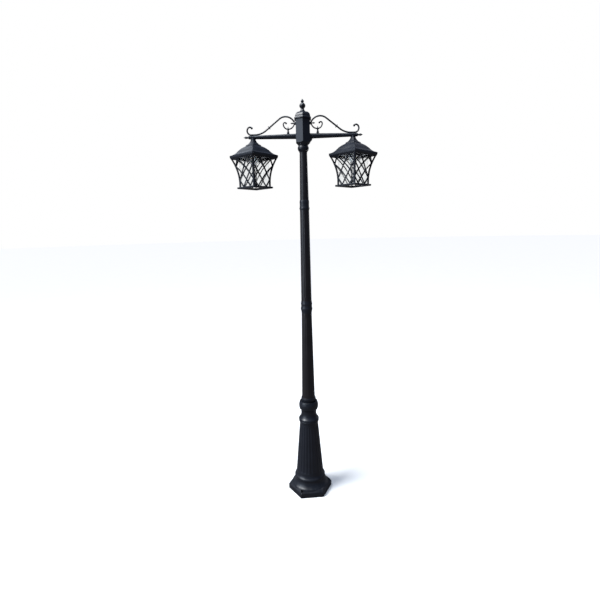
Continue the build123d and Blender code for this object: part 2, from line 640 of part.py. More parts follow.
with BuildPart() as baluster:
    with BuildSketch(Plane.XZ):
        with BuildLine():
            Line((BALUSTER_X, ARM_Z + 9), (BALUSTER_X + 7.4, ARM_Z + 9))
            Line((BALUSTER_X + 7.4, ARM_Z + 9), (BALUSTER_X + 7.0, ARM_Z + 14))
            ThreePointArc((BALUSTER_X + 7.0, ARM_Z + 14), (BALUSTER_X + 5.6, ARM_Z + 22),
                          (BALUSTER_X + 3.6, ARM_Z + 29))
            ThreePointArc((BALUSTER_X + 3.6, ARM_Z + 29), (BALUSTER_X + 5.0, ARM_Z + 36),
                          (BALUSTER_X + 2.8, ARM_Z + 41.5))
            Polyline((BALUSTER_X + 2.8, ARM_Z + 41.5), (BALUSTER_X + 0.5, ARM_Z + 49),
                     (BALUSTER_X, ARM_Z + 49), (BALUSTER_X, ARM_Z + 9))
        make_face()
    revolve(axis=Axis((BALUSTER_X, 0, 0), (0, 0, 1)))
    add(arm.part, mode=Mode.SUBTRACT)
    add(c_scroll.part, mode=Mode.SUBTRACT)
save_pair(baluster, "scroll_baluster")

# ---------------------------------------------------------------- lantern suspension and lamp
NIPPLE_BOTTOM = 1972.0
NIPPLE_TOP = 2013.0
NECK_FLOOR = 1991.0
LAMPHOLDER_TOP = 1975.5
BULB_CAP_TOP = 1957.0
BULB_RADIUS = 22.8

with BuildPart() as nipple:
    with Locations((REACH, 0, NIPPLE_BOTTOM)):
        Cylinder(NIPPLE_RADIUS, NIPPLE_TOP - NIPPLE_BOTTOM, align=OUTWARD)
        Cylinder(3.4, NIPPLE_TOP - NIPPLE_BOTTOM, align=OUTWARD, mode=Mode.SUBTRACT)
save_pair(nipple, "nipple")

with BuildPart() as nipple_nut:
    with BuildSketch(Plane.XY.offset(NECK_FLOOR - FIT_GAP - 6.0)):
        with Locations((REACH, 0)):
            RegularPolygon(9.0, 6)
            Circle(NIPPLE_RADIUS + RUNNING_GAP, mode=Mode.SUBTRACT)
    extrude(amount=6.0)
save_both(nipple_nut, "nipple_nuts")

with BuildPart() as lampholder:
    with BuildSketch(Plane.XZ):
        with BuildLine():
            Polyline((5 + RUNNING_GAP, LAMPHOLDER_TOP), (8.0, LAMPHOLDER_TOP), (9.5, 1970))
            ThreePointArc((9.5, 1970), (16.2, 1966.5), (18.6, 1960))
            Polyline((18.6, 1960), (18.6, 1945), (20.2, 1944), (20.2, 1931), (17.6, 1930), (14.4, 1930),
                     (14.4, BULB_CAP_TOP + 2), (5 + RUNNING_GAP, BULB_CAP_TOP + 2),
                     (5 + RUNNING_GAP, LAMPHOLDER_TOP))
        make_face()
    revolve(axis=Axis.Z)
with BuildPart() as hung_lampholder:
    with Locations((REACH, 0, 0)):
        add(lampholder.part)
save_pair(hung_lampholder, "lampholder")

with BuildPart() as bulb_cap:
    with BuildSketch(Plane.XZ):
        with BuildLine():
            Polyline((0, BULB_CAP_TOP), (4.5, BULB_CAP_TOP), (6.0, 1954.5), (11.6, 1951))
            for turn in range(4):
                top = 1951 - 4.2 * turn
                ThreePointArc((11.6, top), (13.4, top - 2.1), (11.6, top - 4.2))
            Polyline((11.6, 1934.2), (13.0, 1932.5), (13.0, 1927), (0, 1927), (0, BULB_CAP_TOP))
        make_face()
    revolve(axis=Axis.Z)
with BuildPart() as hung_cap:
    with Locations((REACH, 0, 0)):
        add(bulb_cap.part)
save_pair(hung_cap, "bulb_cap")

with BuildPart() as bulb:
    with BuildSketch(Plane.XZ):
        with BuildLine():
            Line((0, 1927), (13.0, 1927))
            ThreePointArc((13.0, 1927), (14.6, 1922.5), (17.2, 1918.6))
            RadiusArc((17.2, 1918.6), (BULB_RADIUS, 1903.4), -BULB_RADIUS)
            RadiusArc((BULB_RADIUS, 1903.4), (0, 1903.4 - BULB_RADIUS), -BULB_RADIUS)
            Line((0, 1903.4 - BULB_RADIUS), (0, 1927))
        make_face()
    revolve(axis=Axis.Z)
with BuildPart() as hung_bulb:
    with Locations((REACH, 0, 0)):
        add(bulb.part)
save_pair(hung_bulb, "bulb_glass")


# ---------------------------------------------------------------- lanterns
def square_solid(planes, outline):
    """Push one half-outline (and its mirror image) through in two directions, for a four-sided shape."""
    with BuildPart() as body:
        for plane, mode in zip(planes, (Mode.ADD, Mode.INTERSECT)):
            with BuildSketch(plane):
                with BuildLine():
                    outline()
                    mirror(about=Plane.YZ)
                make_face()
            extrude(amount=FAR / 2, both=True, mode=mode)
    return body.part


def roof_outside():
    Polyline((0, ROOF_NECK), (9.6, ROOF_NECK), (9.8, 2003.5))
    ThreePointArc((9.8, 2003.5), (13.2, 1995.6), (20.6, 1985.0))
    Polyline((20.6, 1985.0), (27.4, 1980.6), (28.6, 1978.6), (29.2, 1975.2))
    ThreePointArc((29.2, 1975.2), (49.2, 1961.6), (64.0, 1944.6))
    ThreePointArc((64.0, 1944.6), (73.4, 1935.6), (86.5, 1929.4))
    Polyline((86.5, 1929.4), (89.4, 1928.6), (EAVE_HALF, 1927.4), (EAVE_HALF, EAVE_Z + 0.8),
             (EAVE_HALF - 0.8, EAVE_Z), (0, EAVE_Z))


def roof_inside():
    Polyline((0, NECK_FLOOR), (11.5, NECK_FLOOR), (16.8, 1983.6), (24.4, 1978.4), (25.6, 1973.6))
    ThreePointArc((25.6, 1973.6), (46.4, 1959.4), (61.0, 1942.8))
    ThreePointArc((61.0, 1942.8), (70.0, 1933.6), (80.0, 1928.0))
    Polyline((80.0, 1928.0), (80.0, EAVE_Z - 1), (0, EAVE_Z - 1))


def cage_half(z, inset=0.0):
    """Distance from the lantern's axis to the cage's face, or to a line that far inside it."""
    rise = EAVE_Z - CAGE_STRAIGHT_TOP
    spread = CAGE_TOP_HALF - CAGE_FOOT_HALF
    radius = (spread ** 2 + rise ** 2) / (2 * spread) + inset
    lift = max(0.0, z - CAGE_STRAIGHT_TOP)
    return CAGE_FOOT_HALF - inset + radius - sqrt(radius ** 2 - lift ** 2)


def flare(inset, bottom, top):
    """Half-outline of the flared cage, a given distance inside its outer face."""
    foot = CAGE_FOOT_HALF - inset
    middle = (CAGE_STRAIGHT_TOP + top) / 2
    head = (cage_half(top, inset), top)
    Polyline((0, bottom), (foot, bottom), (foot, CAGE_STRAIGHT_TOP))
    ThreePointArc((foot, CAGE_STRAIGHT_TOP), (cage_half(middle, inset), middle), head)
    Line(head, (0, top))


def lattice_lines():
    """Centre lines of the bars on one face, as (start, end) pairs of (share across, share up)."""
    rising = [((0.25, 0.0), (1.0, 0.75)), ((0.0, 0.25), (0.75, 1.0)),
              ((0.75, 0.0), (1.0, 0.25)), ((0.0, 0.75), (0.25, 1.0))]
    falling = [((1 - a[0], a[1]), (1 - b[0], b[1])) for a, b in rising]
    return rising + falling


def lattice_point(share_across, share_up):
    z = CAGE_FOOT + (RAIL_BOTTOM - CAGE_FOOT) * share_up
    return ((2 * share_across - 1) * cage_half(z), z)


def lattice_strips():
    """Point lists of the bars' centre lines, run on a little past the window at both ends."""
    strips = []
    for start, end in lattice_lines():
        across, up = end[0] - start[0], end[1] - start[1]
        steps = 8 if abs(up) > 0.5 else 4
        strips.append([lattice_point(start[0] + across * k / steps, start[1] + up * k / steps)
                       for k in range(-1, steps + 2)])
    return strips


def lattice_pair(plane, outer_face, inner_face):
    """The lattice of two opposite faces: flat bars bent to the flare of the cage."""
    with BuildPart() as pair:
        with BuildSketch(plane):
            for strip in lattice_strips():
                with BuildLine():
                    Polyline(strip)
                trace(line_width=LATTICE_BAR)
        extrude(amount=FAR / 2, both=True)
        with BuildSketch(plane):
            with BuildLine():
                flare(CORNER_BAR, CAGE_FOOT, RAIL_BOTTOM)
                mirror(about=Plane.YZ)
            make_face()
        extrude(amount=FAR / 2, both=True, mode=Mode.INTERSECT)
        add(outer_face, mode=Mode.INTERSECT)
        add(inner_face, mode=Mode.SUBTRACT)
    return pair.part


PANE_FOOT = 49.0               # inner face of a pane, from the lantern's axis, at its foot
PANE_HEAD = 55.8
PANE_TOP = 1905.0
CLIP_THICKNESS = 1.2


def pane_pair(plane, edge_plane):
    """Two opposite panes, leaning outwards; edge_plane shows their thickness."""
    gap = 0.4
    with BuildPart() as pair:
        with BuildSketch(edge_plane):
            with BuildLine():
                Polyline((PANE_FOOT, CAGE_FOOT), (PANE_FOOT + GLASS, CAGE_FOOT),
                         (PANE_HEAD + GLASS, PANE_TOP), (PANE_HEAD, PANE_TOP), (PANE_FOOT, CAGE_FOOT))
            make_face()
            mirror(about=Plane.YZ)
        extrude(amount=FAR / 4, both=True)
        with BuildSketch(plane):
            with BuildLine():
                Polyline((0, CAGE_FOOT), (PANE_FOOT - gap, CAGE_FOOT), (PANE_HEAD - gap, PANE_TOP),
                         (0, PANE_TOP))
                mirror(about=Plane.YZ)
            make_face()
        extrude(amount=FAR / 4, both=True, mode=Mode.INTERSECT)
    return pair.part


def clip_pair(edge_plane, screw_distance):
    """Two bent spring clips under the top rail that hold the heads of opposite panes."""
    lip = PANE_HEAD - 1.0
    with BuildPart() as pair:
        with BuildSketch(edge_plane):
            with BuildLine():
                Polyline((lip - CLIP_THICKNESS, 1897), (lip, 1897), (lip, RAIL_BOTTOM - CLIP_THICKNESS),
                         (screw_distance + 2.0, RAIL_BOTTOM - CLIP_THICKNESS),
                         (screw_distance + 2.0, RAIL_BOTTOM), (lip - CLIP_THICKNESS, RAIL_BOTTOM),
                         (lip - CLIP_THICKNESS, 1897))
            make_face()
            mirror(about=Plane.YZ)
        extrude(amount=4.5, both=True)
    return pair.part


def build_lantern(side, reach, turn):
    spin = radians(45 + turn)
    normal = Vector(cos(spin), sin(spin), 0)
    cross = Vector(-sin(spin), cos(spin), 0)
    centre = Vector(reach, 0, 0)
    faces = (Plane(origin=centre, x_dir=cross, z_dir=normal),
             Plane(origin=centre, x_dir=normal * -1, z_dir=cross))
    level = Plane(origin=centre, x_dir=normal, z_dir=(0, 0, 1))
    rail_middle = cage_half(RAIL_BOTTOM) - CAGE_WALL / 2 + 0.5
    rail_spots = [level.offset(RAIL_BOTTOM).from_local_coords(spot)
                  for spot in ((rail_middle, 0), (0, rail_middle), (-rail_middle, 0), (0, -rail_middle))]
    corner = CAGE_FOOT_HALF - CAGE_WALL / 2
    ring_spots = [level.offset(RING_BOTTOM).from_local_coords((corner * a, corner * b))
                  for a in (-1, 1) for b in (-1, 1)]

    with BuildPart() as roof:
        add(square_solid(faces, roof_outside))
        add(square_solid(faces, roof_inside), mode=Mode.SUBTRACT)
        with Locations((reach, 0, NECK_FLOOR - 1)):
            Cylinder(NIPPLE_RADIUS + RUNNING_GAP, 30, align=OUTWARD, mode=Mode.SUBTRACT)
        with Locations(rail_spots):
            Cylinder(1.6, 16, align=OUTWARD, mode=Mode.SUBTRACT)
    save(roof, f"{side}_roof")

    cage_shell = square_solid(faces, lambda: flare(0, CAGE_FOOT, EAVE_Z))
    cage_space = square_solid(faces, lambda: flare(CAGE_WALL, CAGE_FOOT, EAVE_Z))
    with BuildPart() as cage:
        add(cage_shell)
        add(cage_space, mode=Mode.SUBTRACT)
        for plane in faces:
            with BuildSketch(plane):
                with BuildLine():
                    flare(CORNER_BAR, CAGE_FOOT - 1, RAIL_BOTTOM)
                    mirror(about=Plane.YZ)
                make_face()
            extrude(amount=FAR / 2, both=True, mode=Mode.SUBTRACT)
        with Locations(rail_spots):
            Cylinder(1.6, 12, align=OUTWARD, mode=Mode.SUBTRACT)
        with Locations(ring_spots):
            Cylinder(1.3, CAGE_FOOT - RING_BOTTOM + 11, align=OUTWARD, mode=Mode.SUBTRACT)
    save(cage, f"{side}_cage_frame")

    lattice_outer = square_solid(faces, lambda: flare(0.8, CAGE_FOOT, EAVE_Z))
    lattice_inner = square_solid(faces, lambda: flare(4.8, CAGE_FOOT, EAVE_Z))
    with BuildPart() as lattice:
        for plane in faces:
            add(lattice_pair(plane, lattice_outer, lattice_inner))
    save(lattice, f"{side}_lattice_panels")

    with BuildPart() as panes:
        add(pane_pair(faces[0], faces[1]))
        add(pane_pair(faces[1], faces[0]))
    save(panes, f"{side}_glass_panes")

    with BuildPart() as ring:
        with BuildSketch(level.offset(RING_BOTTOM)):
            Rectangle(2 * RING_HALF, 2 * RING_HALF)
            Rectangle(2 * RING_INNER, 2 * RING_INNER, mode=Mode.SUBTRACT)
        extrude(amount=CAGE_FOOT - RING_BOTTOM)
        outer_edges = [edge for edge in ring.edges()
                       if hypot(edge.center().X - reach, edge.center().Y) > RING_HALF - 1]
        fillet(outer_edges, 2.2)
        with Locations(ring_spots):
            Cylinder(1.6, 12, align=OUTWARD, mode=Mode.SUBTRACT)
            Cone(3.2, 1.6, 1.8, align=OUTWARD, mode=Mode.SUBTRACT)
    save(ring, f"{side}_bottom_ring")

    with BuildPart() as clips:
        add(clip_pair(faces[1], rail_middle))
        add(clip_pair(faces[0], rail_middle))
        with Locations(rail_spots):
            Cylinder(1.7, 6, mode=Mode.SUBTRACT)
    save(clips, f"{side}_pane_clips")

    with BuildPart() as clip_screws:
        for spot in rail_spots:
            with Locations(spot - Vector(0, 0, CLIP_THICKNESS + 1.8)):
                Cylinder(2.8, 1.8, align=OUTWARD)
            with Locations(spot - Vector(0, 0, CLIP_THICKNESS)):
                Cylinder(1.5, 14, align=OUTWARD)
    save(clip_screws, f"{side}_clip_screws")

    with BuildPart() as ring_screws:
        for spot in ring_spots:
            with Locations(spot):
                Cone(3.1, 1.2, 1.8, align=OUTWARD)
                Cylinder(1.2, 18, align=OUTWARD)
    save(ring_screws, f"{side}_ring_screws")


build_lantern("left", -REACH, LEFT_TURN)
build_lantern("right", REACH, RIGHT_TURN)
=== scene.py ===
"""Two-headed garden lamp post: its visible pieces, their finishes and a small studio, on the CAD frame.

Outlines are given in millimetres, +Z up, with the post's axis at X = Y = 0 and the front towards -Y.
"""

import json
from math import asin, atan2, cos, degrees, hypot, pi, radians, sin, sqrt

import bmesh
import bpy
from mathutils import Matrix, Vector, noise


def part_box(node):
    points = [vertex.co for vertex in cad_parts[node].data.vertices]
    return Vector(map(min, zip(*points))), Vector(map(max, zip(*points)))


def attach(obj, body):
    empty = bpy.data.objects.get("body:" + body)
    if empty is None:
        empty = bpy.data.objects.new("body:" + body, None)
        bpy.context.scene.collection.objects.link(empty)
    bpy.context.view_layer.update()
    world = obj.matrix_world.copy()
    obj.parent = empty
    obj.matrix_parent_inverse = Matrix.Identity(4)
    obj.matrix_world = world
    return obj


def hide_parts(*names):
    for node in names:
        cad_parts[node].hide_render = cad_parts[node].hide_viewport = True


bl_info = {
    "name": "Garden lamp post",
    "version": (1, 0, 0),
    "blender": (4, 5, 0),
    "location": "View3D > Sidebar > Lamp Post",
    "description": "Builds the pieces, finishes and studio of a two-headed garden lamp post",
    "category": "Object",
}

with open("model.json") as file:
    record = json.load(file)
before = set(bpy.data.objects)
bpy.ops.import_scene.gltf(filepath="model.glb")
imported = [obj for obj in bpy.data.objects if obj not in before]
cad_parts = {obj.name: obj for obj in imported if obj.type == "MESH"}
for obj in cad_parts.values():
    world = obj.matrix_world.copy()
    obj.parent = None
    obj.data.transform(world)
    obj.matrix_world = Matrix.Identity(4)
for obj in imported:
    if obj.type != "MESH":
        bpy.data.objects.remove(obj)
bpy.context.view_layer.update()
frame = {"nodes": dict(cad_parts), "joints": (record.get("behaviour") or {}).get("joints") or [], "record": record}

MM = 0.001
SIDES = ("left", "right")
SWIVEL_DROP = 18.0                                      # the lanterns' swivels, under the arms' centre line
ARM_Z = frame["joints"][1]["pos_m"][2] / MM + SWIVEL_DROP
LANTERN_X = {joint["child"].split("_")[0]: joint["pos_m"][0] / MM
             for joint in frame["joints"] if joint["child"].endswith("_lantern")}
LANTERN_TURN = {"left": 3.2, "right": -1.8}             # degrees away from corner-to-the-front
SCREW_ANGLES = (90, 210, 330)
Z_TO_X = Matrix.Rotation(pi / 2, 4, "Y")


def span(node):
    """Lowest and highest point of a CAD node, in millimetres."""
    low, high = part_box(node)
    return low.z / MM, high.z / MM


# ---------------------------------------------------------------- settings
def srgb(code):
    """Linear red, green and blue of an sRGB hex colour."""
    channels = [int(code[place:place + 2], 16) / 255 for place in (1, 3, 5)]
    return [c / 12.92 if c <= 0.04045 else ((c + 0.055) / 1.055) ** 2.4 for c in channels]


def colour_setting(name, description, code):
    return bpy.props.FloatVectorProperty(name=name, description=description, subtype="COLOR", min=0.0,
                                         max=1.0, default=srgb(code))


def setting(name, description, default, low, high, unit="NONE"):
    return bpy.props.FloatProperty(name=name, description=description, default=default, min=low, max=high,
                                   unit=unit)


class CoatSettings(bpy.types.PropertyGroup):
    colour: colour_setting("Coat colour", "Powder coat on the castings", "#0c1018")
    shaft_colour: colour_setting("Shaft colour", "Powder coat on the tubes, a little browner", "#100d0f")
    dust_colour: colour_setting("Dust colour", "Fine dust that lies on the foot", "#5d5a58")
    roughness: setting("Roughness", "Satin sheen of the cured powder", 0.33, 0.1, 0.9)
    peel: setting("Orange peel", "Distance between the dimples of the cured powder", 0.0022, 0.0005, 0.01,
                  "LENGTH")


class EdgeSettings(bpy.types.PropertyGroup):
    casting: setting("Casting edges", "Radius on the arrises of the cast pieces", 0.0012, 0.0002, 0.003,
                     "LENGTH")
    bar: setting("Bar edges", "Radius on the arrises of the lantern's bars", 0.0008, 0.0002, 0.0015, "LENGTH")


class GlassSettings(bpy.types.PropertyGroup):
    tint: colour_setting("Tint", "Colour of the pane's glass", "#fdfefe")
    ripple: setting("Ripple", "Height of the ripples in the rolled glass", 0.00012, 0.0, 0.0004, "LENGTH")
    seed_spacing: setting("Seed spacing", "Distance between the bubbles in the glass", 0.014, 0.002, 0.03,
                          "LENGTH")


class StageSettings(bpy.types.PropertyGroup):
    eye_height: setting("Eye height", "Height of the camera", 1.5412, 0.1, 4.0, "LENGTH")
    distance: setting("Distance", "Camera to the post's axis, along the ground", 2.2036, 0.5, 8.0, "LENGTH")
    lens: setting("Lens", "Focal length on a 36 mm sensor, in millimetres", 24.0, 10.0, 100.0)
    floor_colour: colour_setting("Floor colour", "Pale seamless floor", "#f7f7f7")
    key_strength: setting("Key light", "Strength of the soft key light", 4.0, 0.0, 20.0)
    box_power: setting("Soft box", "Power of the tall soft box on the left", 95.0, 0.0, 2000.0, "POWER")
    top_power: setting("Top box", "Power of the soft box overhead", 110.0, 0.0, 2000.0, "POWER")
    back_power: setting("Back boxes", "Power behind on the left; the box on the right has 1.6 times as much",
                        15.0, 0.0, 2000.0, "POWER")


# ---------------------------------------------------------------- node materials
def add_node(tree, kind, inputs=None, **settings):
    """Add a shader node, set its properties, and set or link its inputs by name or number."""
    made = tree.nodes.new(kind)
    for key, value in settings.items():
        setattr(made, key, value)
    for key, value in (inputs or {}).items():
        if isinstance(value, bpy.types.NodeSocket):
            tree.links.new(value, made.inputs[key])
        else:
            made.inputs[key].default_value = value
    return made


def new_material(name):
    """Empty node material, with its surface output and the object's own coordinates."""
    made = bpy.data.materials.new(name)
    made.use_nodes = True
    made.node_tree.nodes.clear()
    place = add_node(made.node_tree, "ShaderNodeTexCoord")
    output = add_node(made.node_tree, "ShaderNodeOutputMaterial")
    return made, made.node_tree, place.outputs["Object"], output.inputs["Surface"]


def per_metre(size_mm):
    """Texture scale that makes one feature the given size."""
    return 1000.0 / size_mm


def grain(tree, place, size_mm, detail=2.0, stretch=(1, 1, 1)):
    """Noise whose features have a real size, with its value from 0 to 1."""
    mapped = add_node(tree, "ShaderNodeMapping", {"Vector": place, "Scale": stretch})
    made = add_node(tree, "ShaderNodeTexNoise",
                    {"Vector": mapped.outputs[0], "Scale": per_metre(size_mm), "Detail": detail})
    return made.outputs["Fac"]


def ranged(tree, value, low, high, start=0.0, end=1.0):
    made = add_node(tree, "ShaderNodeMapRange",
                    {"Value": value, "From Min": start, "From Max": end, "To Min": low, "To Max": high})
    return made.outputs["Result"]


def mixed(tree, factor, first, second):
    return add_node(tree, "ShaderNodeMix", {0: factor, 6: first, 7: second}, data_type="RGBA").outputs[2]


def combined(tree, operation, first, second):
    return add_node(tree, "ShaderNodeMath", {0: first, 1: second}, operation=operation).outputs[0]


def upward_part(tree, vector):
    return add_node(tree, "ShaderNodeSeparateXYZ", {"Vector": vector}).outputs["Z"]


def seen_directly(tree):
    """1 for what the camera sees, also through glass, and 0 for light that bounces."""
    path = add_node(tree, "ShaderNodeLightPath").outputs
    return combined(tree, "MAXIMUM", path["Is Camera Ray"], path["Is Transmission Ray"])


def coated(tree, surface, **inputs):
    """End a material in one shader. Input names have underscores for spaces."""
    named = {key.replace("_", " "): value for key, value in inputs.items()}
    shader = add_node(tree, "ShaderNodeBsdfPrincipled", named)
    tree.links.new(shader.outputs[0], surface)


def bumped(tree, height, distance_mm, strength=1.0, under=None):
    inputs = {"Height": height, "Distance": distance_mm * MM, "Strength": strength}
    if under is not None:
        inputs["Normal"] = under
    return add_node(tree, "ShaderNodeBump", inputs).outputs["Normal"]


def opaque(colour):
    return (*colour, 1.0)


def powder_coat(name, colour, coat, casting_relief):
    """Cured satin powder coat: a soft sheen broken by orange peel, over a slightly uneven casting."""
    made, tree, place, surface = new_material(name)
    cloud = grain(tree, place, 70.0, 3.0)
    lighter = [min(1.0, c * 1.7 + 0.002) for c in colour]
    base = mixed(tree, ranged(tree, cloud, 0.0, 0.7, 0.35, 0.7), opaque(colour), opaque(lighter))
    # dust lies low on the post and on whatever faces up
    low = ranged(tree, upward_part(tree, place), 1.0, 0.0, 0.0, 0.25)
    facing = add_node(tree, "ShaderNodeNewGeometry").outputs["Normal"]
    upward = ranged(tree, upward_part(tree, facing), 0.0, 1.0, 0.35, 1.0)
    patchy = ranged(tree, grain(tree, place, 18.0, 4.0), 0.0, 1.0, 0.4, 0.65)
    dusty = combined(tree, "MULTIPLY", combined(tree, "MULTIPLY", low, upward), patchy)
    film = ranged(tree, dusty, 0.0, 0.25)
    base = mixed(tree, film, base, opaque(coat.dust_colour))
    # rough where the powder flowed less, and where dust lies
    sheen = ranged(tree, grain(tree, place, 35.0, 3.0), coat.roughness - 0.06, coat.roughness + 0.1)
    normal = bumped(tree, grain(tree, place, 22.0, 2.0), casting_relief, 0.3)
    normal = bumped(tree, grain(tree, place, coat.peel / MM, 1.0), 0.03, 0.2, normal)
    rough = combined(tree, "ADD", sheen, film)
    coated(tree, surface, Base_Color=base, Roughness=rough, Normal=normal, IOR=1.5)
    return made


def plated_metal(name, colour, dull, roughness, streak_mm, stretch=(1, 1, 1)):
    """Metal fixings: fine drawn or turned marks in the shine, and duller spots in the plating."""
    made, tree, place, surface = new_material(name)
    spots = ranged(tree, grain(tree, place, 3.0, 4.0), 0.0, 1.0, 0.45, 0.7)
    base = mixed(tree, spots, opaque(srgb(colour)), opaque(srgb(dull)))
    marks = grain(tree, place, streak_mm, 2.0, stretch)
    rough = ranged(tree, marks, roughness - 0.08, roughness + 0.12)
    normal = bumped(tree, marks, 0.02, 0.4)
    coated(tree, surface, Base_Color=base, Roughness=rough, Normal=normal, Metallic=1.0)
    return made


def moulded(name, colour, roughness, texture_mm, relief_mm):
    """Moulded plastic or rubber: even colour with a fine mould texture in its sheen."""
    made, tree, place, surface = new_material(name)
    tone = srgb(colour)
    paler = [min(1.0, c * 1.25 + 0.003) for c in tone]
    base = mixed(tree, grain(tree, place, 12.0, 3.0), opaque(tone), opaque(paler))
    texture = grain(tree, place, texture_mm, 1.0)
    rough = ranged(tree, texture, roughness - 0.05, roughness + 0.08)
    normal = bumped(tree, texture, relief_mm, 0.4)
    coated(tree, surface, Base_Color=base, Roughness=rough, Normal=normal, IOR=1.5)
    return made


def seeded_glass(glass):
    """Clear rolled soda-lime glass: slow ripples bend what is behind it, small bubbles catch the light."""
    made, tree, place, surface = new_material("seeded_soda_lime_glass")
    ripple = grain(tree, place, 14.0, 1.0)
    seeds = add_node(tree, "ShaderNodeTexVoronoi",
                     {"Vector": place, "Scale": 1.0 / glass.seed_spacing, "Randomness": 1.0})
    bubble = ranged(tree, seeds.outputs["Distance"], 1.0, 0.0, 0.06, 0.16)
    normal = bumped(tree, ripple, 0.12, 0.25)
    normal = bumped(tree, bubble, 0.2, 0.5, normal)
    tint = mixed(tree, bubble, opaque(glass.tint), opaque(srgb("#c3cdd6")))
    rough = ranged(tree, bubble, 0.0, 0.2)
    coated(tree, surface, Base_Color=tint, Roughness=rough, Normal=normal, IOR=1.5, Transmission_Weight=1.0)
    return made


def opal_glass():
    """Opal lamp globe: milk-white inside a thin clear skin, so its edge is soft and its face glossy."""
    made, tree, place, surface = new_material("opal_lamp_globe")
    cloud = grain(tree, place, 30.0, 2.0)
    base = mixed(tree, cloud, opaque(srgb("#eef0ee")), opaque(srgb("#e4e7e6")))
    coated(tree, surface, Base_Color=base, Roughness=ranged(tree, cloud, 0.18, 0.26), IOR=1.5,
           Subsurface_Weight=0.5, Subsurface_Scale=0.01, Subsurface_Radius=(1.0, 0.9, 0.8))
    return made


def finish(name):
    """The material for a slot of the record, made once."""
    scene = bpy.context.scene
    coat, glass = scene.post_coat, scene.post_glass
    makers = {
        # satin powder over a sand casting: slow dents under the gloss
        "black_cast": lambda: powder_coat("powder_coated_cast_aluminium", coat.colour, coat, 0.35),
        # the same powder over extruded tube: straighter highlights and a warmer black
        "black_tube": lambda: powder_coat("powder_coated_tube", coat.shaft_colour, coat, 0.12),
        # cut aluminium tube, never coated: pale and streaky along its length
        "tube_inner": lambda: plated_metal("mill_finish_aluminium", "#c9cacb", "#9c9ea0", 0.38, 1.2,
                                           (1, 1, 0.04)),
        "gasket": lambda: moulded("foam_rubber", "#151515", 0.85, 0.8, 0.05),
        "terminal_plastic": lambda: moulded("moulded_nylon", "#d9d6cc", 0.5, 0.6, 0.02),
        # pressed thermoset: hard and nearly glossy
        "lampholder_plastic": lambda: moulded("pressed_thermoset", "#141416", 0.32, 1.5, 0.02),
        "pane_glass": lambda: seeded_glass(glass),
        "bulb_opal": opal_glass,
        "bulb_shell": lambda: plated_metal("nickelled_lamp_cap", "#cfcdc4", "#9a988e", 0.28, 1.0),
        # zinc plate with a faint yellow passivation
        "plated_steel": lambda: plated_metal("zinc_plated_steel", "#c8c0a2", "#9f9a88", 0.36, 0.8),
        "spring_steel": lambda: plated_metal("bright_spring_steel", "#c4c6c8", "#8f9295", 0.3, 0.6,
                                             (0.1, 1, 1)),
        # blackened stainless screws: dark with a turned sheen
        "screw_steel": lambda: plated_metal("blackened_stainless_steel", "#4a4a4d", "#2d2d30", 0.34, 0.5),
    }
    made = MATERIALS.get(name)
    if made is None:
        made = MATERIALS[name] = makers[name]()
    return made


MATERIALS = {}


# ---------------------------------------------------------------- shaping helpers, in millimetres
def outline(start, *moves, steps=8):
    """Points of an outline. (r, z) runs straight there; (via_r, via_z, r, z) is an arc through a point."""
    points = [Vector(start)]
    for move in moves:
        if len(move) == 2:
            points.append(Vector(move))
            continue
        first, via, last = points[-1].copy(), Vector(move[:2]), Vector(move[2:])
        centre = circle_centre(first, via, last)
        begin = atan2(first.y - centre.y, first.x - centre.x)
        turn = signed_turn(first - centre, via - centre) + signed_turn(via - centre, last - centre)
        radius = (first - centre).length
        for step in range(1, steps + 1):
            angle = begin + turn * step / steps
            points.append(centre + radius * Vector((cos(angle), sin(angle))))
    return points


def circle_centre(a, b, c):
    """Centre of the circle through three points."""
    area = 2 * (a.x * (b.y - c.y) + b.x * (c.y - a.y) + c.x * (a.y - b.y))
    squares = [p.length_squared for p in (a, b, c)]
    x = (squares[0] * (b.y - c.y) + squares[1] * (c.y - a.y) + squares[2] * (a.y - b.y)) / area
    y = (squares[0] * (c.x - b.x) + squares[1] * (a.x - c.x) + squares[2] * (b.x - a.x)) / area
    return Vector((x, y))


def signed_turn(a, b):
    return atan2(a.x * b.y - a.y * b.x, a.dot(b))


def rows(start, end, heights):
    """Points on the straight wall between two (r, z) points, at the given heights."""
    return [(start[0] + (end[0] - start[0]) * (z - start[1]) / (end[1] - start[1]), z) for z in heights]


def turned(points, steps, sides=None, closed=True):
    """Spin an outline about the Z axis. With sides, radii are distances to the flats of that polygon."""
    bm = bmesh.new()
    reach = 1.0
    corner = 0.0
    if sides:
        steps = sides
        reach = 1 / cos(pi / sides)
        corner = pi / sides
    way = Vector((cos(corner), sin(corner), 0)) * reach
    verts = [bm.verts.new(way * point[0] + Vector((0, 0, point[1]))) for point in points]
    edges = [bm.edges.new(pair) for pair in zip(verts, verts[1:])]
    if closed:
        edges.append(bm.edges.new((verts[-1], verts[0])))
    bmesh.ops.spin(bm, geom=verts + edges, cent=(0, 0, 0), axis=(0, 0, 1), dvec=(0, 0, 0), angle=2 * pi,
                   steps=steps, use_merge=True, use_normal_flip=False, use_duplicate=False)
    tidy_shell(bm)
    return bm


def tidy_shell(bm):
    """Close seams and poles, drop loose wires, and turn every face outwards."""
    bm.normal_update()
    bmesh.ops.remove_doubles(bm, verts=bm.verts, dist=0.001)
    loose = [edge for edge in bm.edges if not edge.link_faces]
    bmesh.ops.delete(bm, geom=loose, context="EDGES")
    bmesh.ops.recalc_face_normals(bm, faces=bm.faces)


def as_mesh(name, bm):
    mesh = bpy.data.meshes.new(name)
    bm.to_mesh(mesh)
    bm.free()
    return mesh


def in_scene(name, data):
    """A new object for a mesh, light or camera, in the scene's own collection."""
    made = bpy.data.objects.new(name, data)
    bpy.context.scene.collection.objects.link(made)
    return made


